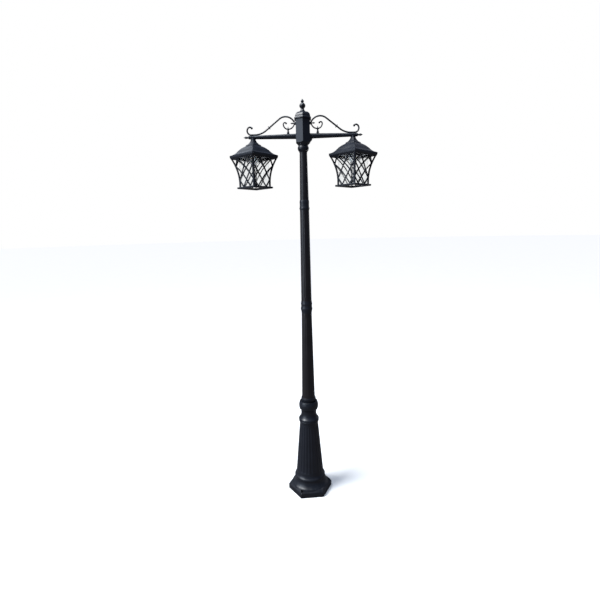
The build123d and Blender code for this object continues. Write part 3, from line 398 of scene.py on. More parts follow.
def joined(*shapes):
    """One bmesh that holds several closed shapes."""
    whole = bmesh.new()
    for shape in shapes:
        mesh = as_mesh("part", shape)
        whole.from_mesh(mesh)
        bpy.data.meshes.remove(mesh)
    return whole


def moved(bm, matrix):
    bmesh.ops.transform(bm, matrix=matrix, verts=bm.verts)
    return bm


def copied(bm, matrix):
    """A moved copy of a shape. A mirrored one is turned the right way out again."""
    made = moved(bm.copy(), matrix)
    if matrix.determinant() < 0:
        bmesh.ops.reverse_faces(made, faces=made.faces)
    return made


def repeated(bm, places):
    """One bmesh that holds a copy of a shape at each place."""
    made = joined(*(copied(bm, place) for place in places))
    bm.free()
    return made


def verts_in(geom):
    return [g for g in geom if isinstance(g, bmesh.types.BMVert)]


def edges_in(geom):
    return [g for g in geom if isinstance(g, bmesh.types.BMEdge)]


def rounded(bm, edges, radius, segments=3):
    bmesh.ops.bevel(bm, geom=edges, offset=radius, offset_type="OFFSET", segments=segments, profile=0.5,
                    affect="EDGES", clamp_overlap=True, material=-1)
    return bm


def sharp_edges(bm, least=35.0):
    """Edges where two faces meet at more than an angle."""
    return [edge for edge in bm.edges
            if len(edge.link_faces) == 2 and degrees(edge.calc_face_angle(0.0)) > least]


def carved(bm, cutter):
    """What is left of a closed shape when another is taken away from it."""
    pair = [in_scene("carving", as_mesh("carving", shape)) for shape in (bm, cutter)]
    cut = pair[0].modifiers.new("cut", "BOOLEAN")
    cut.operation = "DIFFERENCE"
    cut.solver = "EXACT"
    cut.object = pair[1]
    left = bmesh.new()
    left.from_object(pair[0], bpy.context.evaluated_depsgraph_get())
    for thing in pair:
        mesh = thing.data
        bpy.data.objects.remove(thing)
        bpy.data.meshes.remove(mesh)
    return left


def peg(radius, low, high, steps=32):
    """Plain closed round bar along Z."""
    return turned([(0, low), (radius, low), (radius, high), (0, high)], steps, closed=False)


def radial_pegs(radius, z, inner, outer, angles=SCREW_ANGLES):
    """Round bars that point at the post's axis."""
    return repeated(peg(radius, inner, outer),
                    [Matrix.Translation((0, 0, z)) @ Matrix.Rotation(radians(angle), 4, "Z") @ Z_TO_X
                     for angle in angles])


def soften(mesh, least):
    """Smooth shading that keeps broad faces flat: each corner leans to the larger of the faces it blends."""
    mesh.shade_smooth()
    around = [[] for _ in mesh.vertices]
    faces = [(face.normal.copy(), face.area, tuple(face.vertices)) for face in mesh.polygons]
    for normal, area, verts in faces:
        for vert in verts:
            around[vert].append((normal, area))
    corners = []
    for normal, area, verts in faces:
        for vert in verts:
            total = sum((n * a for n, a in around[vert] if n.dot(normal) > least), Vector())
            corners.append(total.normalized() if total.length > 0 else normal)
    mesh.normals_split_custom_set(corners)


def finished(name, bm, body, slot, replaced=(), crease=38.0):
    """Turn a shape in millimetres into a finished piece that rides on a body of the frame."""
    if bm.calc_volume(signed=True) <= 0:
        raise RuntimeError(f"{name} is inside out")
    bmesh.ops.scale(bm, vec=(MM, MM, MM), verts=bm.verts)
    mesh = as_mesh(name, bm)
    piece = in_scene(name, mesh)
    soften(mesh, cos(radians(crease)))
    mesh.materials.append(finish(slot))
    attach(piece, body)
    if replaced:
        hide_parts(*replaced)
    return piece


def smoothed_copy(node, name, body, slot, crease=30.0):
    """A merged copy of a CAD node, for a piece whose shape is already right but whose facets would show."""
    bm = bmesh.new()
    bm.from_mesh(frame["nodes"][node].data)
    bmesh.ops.scale(bm, vec=(1 / MM, 1 / MM, 1 / MM), verts=bm.verts)
    bmesh.ops.remove_doubles(bm, verts=bm.verts, dist=0.002)
    return finished(name, bm, body, slot, (node,), crease)


# ---------------------------------------------------------------- base
BORE = 38.1                    # the base, cup and foot ring all fit over the lower tube
FOOT_TURN = radians(5.9)
FOOT_RADIUS = 129.6            # centre to the corners of the hexagonal foot
FOOT_SIDE = 29.0
FOOT_TOP = 42.0
ANCHOR_CIRCLE = 114.0
ANCHOR_HOLE = 4.5
SKIRT = ((79.2, 120.0), (53.5, 420.0))
SKIRT_FLUTES = 24
POLE_FLUTES = 12


def press_flutes(bm, count, foot, head, radii, depth, phase=0.0):
    """Push a turned wall in along round-ended flutes. foot and head are (wall radius, height)."""
    pitch = 2 * pi / count
    for vert in bm.verts:
        x, y, z = vert.co
        wall = hypot(x, y)
        along = min(1.0, max(0.0, (z - foot[1]) / (head[1] - foot[1])))
        outer = foot[0] + (head[0] - foot[0]) * along
        if wall < outer - 1.2 or wall > outer + 1.2:
            continue
        radius = radii[0] + (radii[1] - radii[0]) * along
        past = max(foot[1] - z, z - head[1], 0.0)
        aside = ((atan2(y, x) - phase + pitch / 2) % pitch - pitch / 2) * wall
        inside = radius ** 2 - aside ** 2 - past ** 2
        if inside > (radius - depth) ** 2:
            pushed = (wall - sqrt(inside) + radius - depth) / wall
            vert.co.x *= pushed
            vert.co.y *= pushed


def flute_rows(wall, foot_z, head_z, ends):
    """Wall points that are close together where the flutes' round ends are."""
    low, high = ends
    heights = [foot_z - low + low * k / 6 for k in range(7)]
    heights += [foot_z + (head_z - foot_z) * k / 8 for k in range(1, 8)]
    heights += [head_z + high * k / 6 for k in range(7)]
    return rows(wall[0], wall[1], heights)


class LAMPPOST_OT_base(bpy.types.Operator):
    """Cast base: hexagonal foot with anchor holes, round pedestal and fluted skirt"""
    bl_idname = "lamppost.base"
    bl_label = "Cast base"

    def execute(self, context):
        edge = context.scene.post_edges.casting / MM
        top = span("base_casting")[1]
        body = outline((107, FOOT_TOP - 4), (106, FOOT_TOP + 0.5), (93.5, 59, 88.5, 76), (88.5, 80),
                       (90.2, 88, 88, 95.5), (85.5, 98.5), (81, 107.5, *SKIRT[0]))
        body += flute_rows(SKIRT, 131, 408, (7.0, 5.5))
        body += outline(SKIRT[1], (53.5, 427), (55.0, 431), (57.9, 433, 57.9, 437),
                        (56.9, 439.6, 57.4, 441.5), (59.0, 443.6, 58.4, 446), (57.8, 449.6, 56.2, 452),
                        (48.5, 463, 44.6, top), steps=6)
        body += outline((BORE, top), (BORE, 456), (33, 456), (33, 440), (46.5, 415), (71, 122),
                        (80.5, 92), (82, 66), (97, 36))
        turned_body = turned(body, SKIRT_FLUTES * 14)
        press_flutes(turned_body, SKIRT_FLUTES, (78.3, 131), (54.6, 408), (9.0, 6.0), 1.9, FOOT_TURN)
        turned_body = carved(turned_body, radial_pegs(4.0, 474, 30, 60))

        flat = cos(pi / 6)
        inner = FOOT_RADIUS - 10
        section = [(FOOT_RADIUS, 0), (FOOT_RADIUS, FOOT_SIDE - 1.5), (FOOT_RADIUS - 1.6, FOOT_SIDE),
                   (FOOT_RADIUS - 12, FOOT_TOP), (95, FOOT_TOP), (95, 23), (inner, 23), (inner, 0)]
        foot = turned([(r * flat, z) for r, z in section], 6, sides=6)
        corners = [e for e in foot.edges if min(v.co.xy.length for v in e.verts) > FOOT_RADIUS - 13
                   and abs(e.verts[0].co.xy.cross(e.verts[1].co.xy)) < 1]
        rounded(foot, corners, edge)
        # sides=6 puts the corners at 30 degrees, so the foot's own turn takes that off again
        places = [Matrix.Rotation(turn + pi / 6, 4, "Z") @ Matrix.Translation((ANCHOR_CIRCLE, 0, 0))
                  for turn in (0, 2 * pi / 3, 4 * pi / 3)]
        hole = turned([(0, -2), (ANCHOR_HOLE, -2), (ANCHOR_HOLE, FOOT_SIDE - 1), (9, FOOT_SIDE - 1),
                       (9, 60), (0, 60)], 40, closed=False)
        boss = turned([(ANCHOR_HOLE, 0), (11.8, 0), (11.8, 24), (ANCHOR_HOLE, 24)], 40)
        foot = joined(carved(foot, repeated(hole, places)), repeated(boss, places))
        moved(foot, Matrix.Rotation(FOOT_TURN - pi / 6, 4, "Z"))
        finished("cast_base", joined(turned_body, foot), "root", "black_cast", ["base_casting"], 42)
        return {"FINISHED"}


# ---------------------------------------------------------------- pole
TUBE_STEPS = POLE_FLUTES * 12
POLE_PHASE = radians(15)
POLE_CREASE = 42


def fluted_tube(name, node, below, wall, ends, above, walls, radius, depth, run_out):
    """Tube with round-ended flutes between two heights. below and above are the outline beside its wall."""
    points = below + [wall[0]] + flute_rows(wall, *ends, (run_out, run_out)) + [wall[1]] + above
    tube = turned(points, TUBE_STEPS)
    press_flutes(tube, POLE_FLUTES, (walls[0], ends[0]), (walls[1], ends[1]), (radius, radius), depth,
                 POLE_PHASE)
    finished(name, tube, "root", "black_tube", [node], POLE_CREASE)


def joint_collar(name, node, section, screw, heights, reach):
    """Collar over a joint of the pole, drilled for two rings of grub screws."""
    holes = joined(*(radial_pegs(screw, z, *reach) for z in heights))
    finished(name, carved(turned(section, 120), holes), "root", "black_cast", [node])


class LAMPPOST_OT_pole(bpy.types.Operator):
    """Three tube lengths, the cup at their foot and the collars that cover their joints"""
    bl_idname = "lamppost.pole"
    bl_label = "Pole"

    def execute(self, context):
        seat, lower_joint = span("pole_lower")
        upper_joint, top = span("pole_upper")
        fluted_tube("fluted_tube_lower", "pole_lower",
                    [(33, seat), (38, seat), (38, 578.5)], ((37.4, 580.0), (28.1, 1077.0)), (600, 1055),
                    [(28, 1079), (28, lower_joint), (25, lower_joint), (25, 1060), (33, 600)],
                    (37.0, 28.5), 6.5, 0.9, 3.6)
        fluted_tube("fluted_tube_middle", "pole_middle",
                    [(25, lower_joint), (28.65, lower_joint)], ((28.65, 1149.0), (24.9, 1637.0)),
                    (1171, 1617),
                    [(24.8, 1639), (24.8, upper_joint), (20.4, upper_joint), (20.4, 1610), (25, 1190)],
                    (28.5, 25.1), 5.2, 0.8, 3.0)

        shoulder = span("hub_body")[0] - 0.05
        points = [(20.4, upper_joint), (23.4, upper_joint), (23.4, 1696), (19.8, 1930), (19.8, shoulder),
                  (17, shoulder), (17, top - 1), (16, top), (13, top), (13, 1925), (16.5, 1900), (20.4, 1740)]
        finished("plain_tube_upper", turned(points, 96), "root", "black_tube", ["pole_upper"])

        low, high = span("cup_collar")
        cup = outline((BORE, low), (44.0, low), (44.6, low + 3), (44.2, low + 7), (47.6, 503, 52.6, 508.5),
                      (55.8, 527, 50.4, 553.5), (49.2, 555, 47.8, 554), (46.4, 546.5, 40.5, 544),
                      (40.5, high), (BORE, high), steps=14)
        finished("cast_cup", turned(cup, 120), "root", "black_cast", ["cup_collar"])

        low, high = span("pole_foot_ring")
        ring = outline((BORE, low), (40.6, low), (42.3, 569, 41.0, high - 1), (BORE, high))
        finished("cast_foot_ring", turned(ring, 120), "root", "black_cast", ["pole_foot_ring"])

        low, high = span("lower_joint_collar")
        collar = outline((28.1, low), (28.7, low), (29.7, low + 9), (31.0, low + 15),
                         (32.4, low + 24, 30.6, low + 33), (30.3, low + 43), (31.4, low + 51, 30.1, low + 59),
                         (29.3, high), (28.75, high), (28.75, lower_joint), (28.1, lower_joint))
        joint_collar("cast_lower_collar", "lower_joint_collar", collar, 2.6, (1103, 1131), (20, 45))

        low, high = span("upper_joint_collar")
        collar = outline((24.9, low), (25.2, low), (25.4, low + 3), (27.2, low + 11, 25.4, low + 19),
                         (25.0, low + 33), (25.7, low + 43, 24.6, low + 53), (23.9, high), (23.5, high),
                         (23.5, upper_joint), (24.9, upper_joint))
        joint_collar("cast_upper_collar", "upper_joint_collar", collar, 2.1, (1650, 1684), (15, 40))
        return {"FINISHED"}


# ---------------------------------------------------------------- head
class LAMPPOST_OT_head(bpy.types.Operator):
    """Six-sided hub, its domed cap and the turned finial"""
    bl_idname = "lamppost.head"
    bl_label = "Hub, cap and finial"

    def execute(self, context):
        smoothed_copy("hub_body", "cast_hub", "head", "black_cast")
        seat = span("cap_gasket")[1]
        dome = outline((0, seat), (41.8, seat), (43.2, seat + 1.6), (43.2, 2105), (42.2, 2107),
                       (39.6, 2109.2, 38.8, 2112), (35.2, 2125, 24.0, 2134.5), (15, 2137.5), (0, 2137.5))
        cap = turned(dome, 6, sides=6, closed=False)
        ridges = [e for e in cap.edges if min(v.co.xy.length for v in e.verts) > 12
                  and abs(e.verts[0].co.z - e.verts[1].co.z) > 0.5
                  and max(v.co.z for v in e.verts) > seat + 3]
        rounded(cap, ridges, 1.4)
        low, high = seat - 11, seat + 0.5
        plug = turned([(28, low), (31.85, low), (31.85, high), (28, high)], 6, sides=6)
        finished("cast_cap", joined(cap, plug), "head", "black_cast", ["hub_cap"])

        low, high = span("finial")
        knob = outline((0, low), (13.6, low), (14.2, 2139.2, 13.2, 2140.6), (10.2, 2146, 8.9, 2153),
                       (9.4, 2155), (15.7, 2167, 7.4, 2179), (6.0, 2180.6, 6.4, 2182.4),
                       (8.2, 2187.6, 5.6, 2193.6), (3.2, 2196.6, 1.2, high - 0.6), (0.5, high), (0, high),
                       steps=12)
        finished("turned_finial", turned(knob, 64, closed=False), "head", "black_cast", ["finial"])
        return {"FINISHED"}


# ---------------------------------------------------------------- arms
ARM_ROOT = 36.5
ARM_END = 284.0
MIRROR_X = Matrix.Diagonal((-1, 1, 1, 1))


def on_both_arms(bm):
    """The right-hand shape and its mirror image, keyed by side."""
    return {"right": bm, "left": copied(bm, MIRROR_X)}


def finished_pair(bm, name, node, crease=38.0):
    """A piece on each arm. Both names take the side where they have {}."""
    for side, shape in on_both_arms(bm).items():
        finished(name.format(side), shape, "head", "black_cast", [node.format(side)], crease)


def finished_together(bm, name, node):
    """One piece that holds a shape and its mirror image."""
    both = on_both_arms(bm)
    finished(name, joined(both["left"], both["right"]), "head", "black_cast", [node])


def along_arm(points, steps, sides=None):
    """Spin an (x, radius) outline about the arm's centre line."""
    return moved(turned([(r, x) for x, r in points], steps, sides, closed=False),
                 Matrix.Translation((0, 0, ARM_Z)) @ Z_TO_X)


class LAMPPOST_OT_arms(bpy.types.Operator):
    """Tapered octagonal arms with their root flanges, lantern pads and turned tips"""
    bl_idname = "lamppost.arms"
    bl_label = "Arms"

    def execute(self, context):
        edge = context.scene.post_edges.casting / MM
        bar = along_arm([(ARM_ROOT, 0), (ARM_ROOT, 12.5), (ARM_END, 8.3), (ARM_END, 0)], 8, 8)
        rounded(bar, [e for e in sharp_edges(bar) if max(v.co.x for v in e.verts) > ARM_ROOT + 1], edge)
        flange = along_arm([(ARM_ROOT, 0), (ARM_ROOT, 14.3), (ARM_ROOT + 0.6, 14.3), (ARM_ROOT + 2.6, 12.2),
                            (ARM_ROOT + 2.6, 0)], 8, 8)
        spigot = along_arm([(ARM_ROOT - 10.5, 0), (ARM_ROOT - 10.5, 7.4), (ARM_ROOT - 9.9, 8),
                            (ARM_ROOT + 1, 8), (ARM_ROOT + 1, 0)], 48)
        reach = LANTERN_X["right"]
        pad = copied(peg(9.4, ARM_Z - 9, ARM_Z - 3, 48), Matrix.Translation((reach, 0, 0)))
        finished_pair(joined(bar, flange, spigot, pad), "{}_cast_arm", "{}_arm", 30)

        tip = outline((ARM_END, 0), (ARM_END, 6.6), (287.2, 4.9, 290.6, 4.4), (293.0, 5.4, 295.0, 4.6),
                      (299.2, 6.0, 303.6, 4.2), (307.4, 2.2, 310.5, 0.7), (311.0, 0))
        finished_together(along_arm(tip, 40), "turned_arm_tips", "arm_tips")
        return {"FINISHED"}


# ---------------------------------------------------------------- scrollwork
S_ROD, S_BALL = 4.1, 5.7                # radii of the rod and of the ball on its end
C_ROD, C_BALL = 3.3, 4.6
S_CREST = Vector((89.7, 47.0))          # crest arc's centre, as (x, height above the arms)
S_CREST_RADIUS = 51.0
S_START_HEADING = 70.0
S_REST = Vector((250.0, 12.6))
S_REST_RADIUS = 95.0
S_CURL = ((20.5, 135.0), (12.0, 100.0))
C_START = Vector((43.5, 63.3))
C_CURL = ((33.0, 80.0), (25.0, 90.0), (8.0, 150.0))
BALUSTER_X = 77.0
BUD_LIFT = 64.0                         # above the arms' centre line
CLASP_REACH = 68.0                      # along the S-scroll's straight


def heading_vector(angle):
    return Vector((cos(radians(angle)), sin(radians(angle))))


def crest_point(heading):
    """Where the S-scroll's crest arc has a heading, going clockwise."""
    return S_CREST + S_CREST_RADIUS * Vector((-sin(radians(heading)), cos(radians(heading))))


def scroll_geometry():
    """Slope and length of the S-scroll's straight, which touches its crest arc and its resting arc."""
    gap = S_REST + Vector((0, S_REST_RADIUS)) - S_CREST
    both = S_CREST_RADIUS + S_REST_RADIUS
    slope = degrees(atan2(gap.y, gap.x)) - degrees(asin(both / gap.length))
    return slope, sqrt(gap.length ** 2 - both ** 2)


def rod(start, heading, runs, radius, ball):
    """Round rod bent along arcs and straights in the upright plane, with a ball on its end.

    A run is (length,) for a straight or (bend radius, turn in degrees), positive turns being to the left.
    """
    bm = bmesh.new()
    place = Vector((start.x, 0, ARM_Z + start.y))
    ring = bmesh.ops.create_circle(bm, cap_ends=False, radius=radius, segments=20)["verts"]
    bmesh.ops.rotate(bm, verts=ring, cent=(0, 0, 0),
                     matrix=Matrix.Rotation(pi / 2 - radians(heading), 3, "Y"))
    bmesh.ops.translate(bm, verts=ring, vec=place)
    edges = list(bm.edges)
    bmesh.ops.contextual_create(bm, geom=edges)
    for run in runs:
        tangent = heading_vector(heading)
        ahead = Vector((tangent.x, 0, tangent.y))
        left = Vector((-tangent.y, 0, tangent.x))
        if len(run) == 1:
            made = bmesh.ops.extrude_edge_only(bm, edges=edges)["geom"]
            bmesh.ops.translate(bm, verts=verts_in(made), vec=ahead * run[0])
            edges = [e for e in edges_in(made)
                     if all((v.co - place - ahead * run[0]).dot(ahead) > -1e-3 for v in e.verts)]
            place = place + ahead * run[0]
            continue
        bend, turn = run
        centre = place + left * (bend if turn > 0 else -bend)
        steps = max(6, round(abs(turn) / 5))
        made = bmesh.ops.spin(bm, geom=edges, cent=centre, axis=(0, -1, 0), dvec=(0, 0, 0),
                              angle=radians(turn), steps=steps, use_merge=False, use_normal_flip=False,
                              use_duplicate=False)["geom_last"]
        edges = edges_in(made)
        place = centre + Matrix.Rotation(radians(turn), 3, Vector((0, -1, 0))) @ (place - centre)
        heading += turn
    bmesh.ops.contextual_create(bm, geom=edges)
    tidy_shell(bm)
    sphere = bmesh.new()
    bmesh.ops.create_uvsphere(sphere, u_segments=28, v_segments=18, radius=ball,
                              matrix=Matrix.Translation(place))
    return joined(bm, sphere)


class LAMPPOST_OT_scrolls(bpy.types.Operator):
    """S and C scrolls over the arms, with their buds, clasps and balusters"""
    bl_idname = "lamppost.scrolls"
    bl_label = "Scrollwork"

    def execute(self, context):
        slope, straight = scroll_geometry()
        start = crest_point(S_START_HEADING)
        runs = [(S_CREST_RADIUS, slope - S_START_HEADING), (straight,), (S_REST_RADIUS, -slope), (20.0,)]
        long_rod = rod(start, S_START_HEADING, runs + list(S_CURL), S_ROD, S_BALL)
        finished_pair(long_rod, "{}_long_scroll", "{}_s_scroll", 60)
        small_rod = rod(C_START, -C_CURL[0][1], C_CURL, C_ROD, C_BALL)
        finished_pair(small_rod, "{}_small_scroll", "{}_c_scroll", 60)

        bud = outline((ARM_ROOT, 0), (ARM_ROOT, 8.0), (ARM_ROOT + 2, 8.0), (44.5, 6.4), (47.0, 3.4),
                      (49.6, 2.5, 52.0, 3.0), (56.4, 4.0, 60.6, 2.2), (63.6, 0.7), (64.0, 0))
        finished_together(moved(along_arm(bud, 36), Matrix.Translation((0, 0, BUD_LIFT))), "turned_buds",
                          "scroll_buds")

        baluster = outline((0, 9), (7.4, 9), (7.0, 14), (5.6, 22, 3.6, 29), (5.0, 36, 2.8, 41.5), (0.5, 49),
                           (0, 49))
        baluster = moved(turned(baluster, 40, closed=False), Matrix.Translation((BALUSTER_X, 0, ARM_Z)))
        finished_pair(baluster, "{}_turned_baluster", "{}_scroll_baluster")

        band = turned(outline((S_ROD, -3), (5.0, -3), (5.4, -2.2), (5.9, 0, 5.4, 2.2), (5.0, 3),
                              (S_ROD, 3)), 32)
        leaf = turned([(0, 0), (3.2, 0), (3.0, 4), (0.5, 10), (0, 10.2)], 20, closed=False)
        clasp = joined(band, repeated(leaf, [Matrix.Rotation(way * pi / 2, 4, "X") for way in (-1, 1)]))
        middle = crest_point(slope) + heading_vector(slope) * CLASP_REACH
        # the leaves stand in the scroll's plane: first turned out of Y, then along the rod
        turn = Matrix.Rotation(pi / 2 - radians(slope), 4, "Y") @ Matrix.Rotation(pi / 2, 4, "Z")
        moved(clasp, Matrix.Translation((middle.x, 0, ARM_Z + middle.y)) @ turn)
        finished_together(clasp, "cast_clasps", "scroll_clasps")
        return {"FINISHED"}


# ---------------------------------------------------------------- lanterns
EAVE_Z = 1918.0
RAIL_Z = 1909.0
CAGE_FOOT = 1768.0
STRAIGHT_TOP = 1785.0
CAGE_FOOT_HALF = 59.5
CAGE_TOP_HALF = 89.5
CAGE_WALL = 6.0
CORNER_BAR = 9.0
LATTICE_BAR = 6.4               # 0.8 mm wider than the CAD's bars, which look too fine from a distance
LATTICE_INSET = (0.8, 4.8)
RIDGE_POINTS = 60               # of the roof's outline, whose corners are rounded


def cage_half(z, inset=0.0):
    """Distance from the lantern's axis to the cage's outer face, or to a line that far inside it."""
    rise = EAVE_Z - STRAIGHT_TOP
    spread = CAGE_TOP_HALF - CAGE_FOOT_HALF
    radius = (spread ** 2 + rise ** 2) / (2 * spread) + inset
    lift = max(0.0, z - STRAIGHT_TOP)
    return CAGE_FOOT_HALF - inset + radius - sqrt(radius ** 2 - lift ** 2)


def hung(bm, side):
    """Place a lantern piece, made about the Z axis with its faces square to X and Y, under its arm."""
    place = Matrix.Translation((LANTERN_X[side], 0, 0)) @ Matrix.Rotation(
        radians(45 + LANTERN_TURN[side]), 4, "Z")
    return copied(bm, place)


def four_ways(bm):
    """A shape and its copies on the other three faces."""
    return repeated(bm, [Matrix.Rotation(quarter * pi / 2, 4, "Z") for quarter in range(4)])


def roof_shape(edge):
    """Square ogee roof with a stepped neck, hollow inside."""
    top = span("left_roof")[1]
    section = outline((5.06, top), (9.6, top), (9.8, 2003.5), (13.2, 1995.6, 20.6, 1985.0), (27.4, 1980.6),
                      (28.6, 1978.6), (29.2, 1975.2), (49.2, 1961.6, 64.0, 1944.6),
                      (73.4, 1935.6, 86.5, 1929.4), (89.4, 1928.6), (90.2, 1927.4), (90.2, EAVE_Z + 0.8),
                      (89.4, EAVE_Z), (80.0, EAVE_Z), (80.0, 1928.0), (70.0, 1933.6, 61.0, 1942.8),
                      (46.4, 1959.4, 25.6, 1973.6), (24.4, 1978.4), (16.8, 1983.6), (11.5, 1991),
                      (5.06, 1991), steps=10)
    roof = turned(section, 4, sides=4)
    edge_points = {(round(r * sqrt(2), 3), round(z, 3)) for r, z in section[:RIDGE_POINTS]}
    ridges = [e for e in roof.edges
              if abs(e.verts[0].co.z - e.verts[1].co.z) + abs(e.verts[0].co.xy.length
                                                              - e.verts[1].co.xy.length) > 0.05
              and all((round(v.co.xy.length, 3), round(v.co.z, 3)) in edge_points for v in e.verts)
              and min(v.co.xy.length for v in e.verts) > 13]
    return rounded(roof, ridges, edge)


def cage_shape(edge):
    """Four flared corner bars of angle section, under a square top rail."""
    bar = bmesh.new()
    foot = CAGE_FOOT_HALF
    corner = ((foot, foot), (foot - CORNER_BAR, foot), (foot - CORNER_BAR, foot - CAGE_WALL),
              (foot - CAGE_WALL, foot - CAGE_WALL), (foot - CAGE_WALL, foot - CORNER_BAR),
              (foot, foot - CORNER_BAR))
    face = bar.faces.new([bar.verts.new((x, y, CAGE_FOOT)) for x, y in corner])
    heights = [STRAIGHT_TOP + (EAVE_Z - 1 - STRAIGHT_TOP) * k / 14 for k in range(15)]
    before = CAGE_FOOT
    for z in heights:
        made = bmesh.ops.extrude_face_region(bar, geom=[face])
        grow = cage_half(z) - cage_half(before)
        bmesh.ops.translate(bar, verts=verts_in(made["geom"]), vec=(grow, grow, z - before))
        if before > CAGE_FOOT:
            bmesh.ops.delete(bar, geom=[face], context="FACES_ONLY")
        face = next(g for g in made["geom"] if isinstance(g, bmesh.types.BMFace))
        before = z
    tidy_shell(bar)
    rounded(bar, [e for e in sharp_edges(bar, 60) if abs(e.verts[0].co.z - e.verts[1].co.z) > 1], edge, 2)
    posts = four_ways(bar)
    rail = [(cage_half(z, inset), z) for z, inset in
            ((RAIL_Z, 0), (EAVE_Z, 0), (EAVE_Z, CAGE_WALL), (RAIL_Z, CAGE_WALL))]
    rail = turned(rail, 4, sides=4)
    rounded(rail, [e for e in sharp_edges(rail) if max(v.co.z for v in e.verts) < RAIL_Z + 1], edge, 2)
    return joined(posts, rail)


def lattice_lines():
    """Centre lines of the bars on one face, as (start, end) pairs of (share across, share up)."""
    rising = [((0.25, 0.0), (1.0, 0.75)), ((0.0, 0.25), (0.75, 1.0)),
              ((0.75, 0.0), (1.0, 0.25)), ((0.0, 0.75), (0.25, 1.0))]
    falling = [((1 - a[0], a[1]), (1 - b[0], b[1])) for a, b in rising]
    return rising, falling


def lattice_bar(start, end, edge, sunk):
    """One bar of the lattice, made straight and then laid along its line on the flared face."""
    def centre(share):
        across = start[0] + (end[0] - start[0]) * share
        z = CAGE_FOOT + (RAIL_Z - CAGE_FOOT) * (start[1] + (end[1] - start[1]) * share)
        return Vector(((2 * across - 1) * cage_half(z, CAGE_WALL), z))

    length = (centre(1) - centre(0)).length
    overrun = 3.0 / length
    bm = bmesh.new()
    depth = LATTICE_INSET[1] - LATTICE_INSET[0]
    blank = Matrix.Diagonal((length * (1 + 2 * overrun), LATTICE_BAR, depth, 1))
    bmesh.ops.create_cube(bm, size=1.0, matrix=blank)
    rounded(bm, [e for e in bm.edges if abs(e.verts[0].co.x - e.verts[1].co.x) > 1], edge, 2)
    steps = max(4, round(length / 9))
    for step in range(1, steps):
        bmesh.ops.bisect_plane(bm, geom=list(bm.verts) + list(bm.edges) + list(bm.faces), dist=1e-4,
                               plane_co=(length * (step / steps - 0.5), 0, 0), plane_no=(1, 0, 0))
    for vert in bm.verts:
        share = vert.co.x / length + 0.5
        tangent = (centre(share + 0.01) - centre(share - 0.01)).normalized()
        spot = centre(share) + Vector((-tangent.y, tangent.x)) * vert.co.y
        z = min(max(spot.y, CAGE_FOOT - 3), EAVE_Z - 2)
        middle = (LATTICE_INSET[0] + LATTICE_INSET[1]) / 2
        vert.co = (cage_half(z, middle - vert.co.z + sunk), spot.x, z)
    bm.normal_update()
    bmesh.ops.recalc_face_normals(bm, faces=bm.faces)
    return bm


def lattice_shape(edge):
    """Crossed bars on all four faces. One set lies a little deeper, so that no two faces coincide."""
    bars = []
    for sunk, lines in zip((0.0, 0.3), lattice_lines()):
        bars += [lattice_bar(start, end, edge, sunk) for start, end in lines]
    return four_ways(joined(*bars))


def ring_shape():
    """Square bottom ring with rounded outer edges."""
    low, high = span("left_bottom_ring")
    section = outline((48.8, low), (65.8, low), (67.36, low + 0.64, 68, low + 2.2), (68, high - 2.2),
                      (67.36, high - 0.64, 65.8, high), (48.8, high), steps=4)
    ring = turned(section, 4, sides=4)
    corners = [e for e in ring.edges if min(v.co.xy.length for v in e.verts) > 90
               and abs(e.verts[0].co.xy.cross(e.verts[1].co.xy)) < 1]
    return rounded(ring, corners, 2.0)


def pane_shape(ripple):
    """One leaning pane of rolled glass, rippled on both faces."""
    low, high = span("left_glass_panes")
    foot, head, thick, gap = 49.0, 55.8, 3.0, 0.5
    pane = bmesh.new()
    bmesh.ops.create_grid(pane, x_segments=28, y_segments=30, size=0.5)
    for vert in pane.verts:
        share = vert.co.y + 0.5
        half = foot + (head - foot) * share
        vert.co = (half + 2 * ripple, 2 * vert.co.x * (half - gap), low + (high - low) * share)
    pane.normal_update()
    bmesh.ops.recalc_face_normals(pane, faces=pane.faces)
    if pane.faces[0].normal.x > 0:
        bmesh.ops.reverse_faces(pane, faces=pane.faces[:])
    made = bmesh.ops.extrude_face_region(pane, geom=pane.faces[:], use_keep_orig=True)["geom"]
    bmesh.ops.translate(pane, verts=verts_in(made), vec=(thick - 4 * ripple, 0, 0))
    for vert in pane.verts:
        vert.co.x += noise.noise(vert.co / 13.0) * ripple
    tidy_shell(pane)
    return four_ways(pane)


class LAMPPOST_OT_lanterns(bpy.types.Operator):
    """Lantern castings: ogee roofs, flared cages, lattice panels and bottom rings"""
    bl_idname = "lamppost.lanterns"
    bl_label = "Lantern castings"

    def execute(self, context):
        edges = context.scene.post_edges
        shapes = {"roof": roof_shape(edges.casting / MM), "cage_frame": cage_shape(edges.bar / MM),
                  "lattice_panels": lattice_shape(edges.bar / MM), "bottom_ring": ring_shape()}
        for part, shape in shapes.items():
            for side in SIDES:
                finished(f"{side}_lantern_{part}", hung(shape, side), f"{side}_lantern", "black_cast",
                         [f"{side}_{part}"], 32)
            shape.free()
        return {"FINISHED"}


class LAMPPOST_OT_glazing(bpy.types.Operator):
    """Rippled, seeded panes inside the lattice"""
    bl_idname = "lamppost.glazing"
    bl_label = "Glazing"

    def execute(self, context):
        panes = pane_shape(context.scene.post_glass.ripple / MM)
        for side in SIDES:
            finished(f"{side}_seeded_panes", hung(panes, side), f"{side}_lantern", "pane_glass",
                     [f"{side}_glass_panes"], 40)
        panes.free()
        return {"FINISHED"}


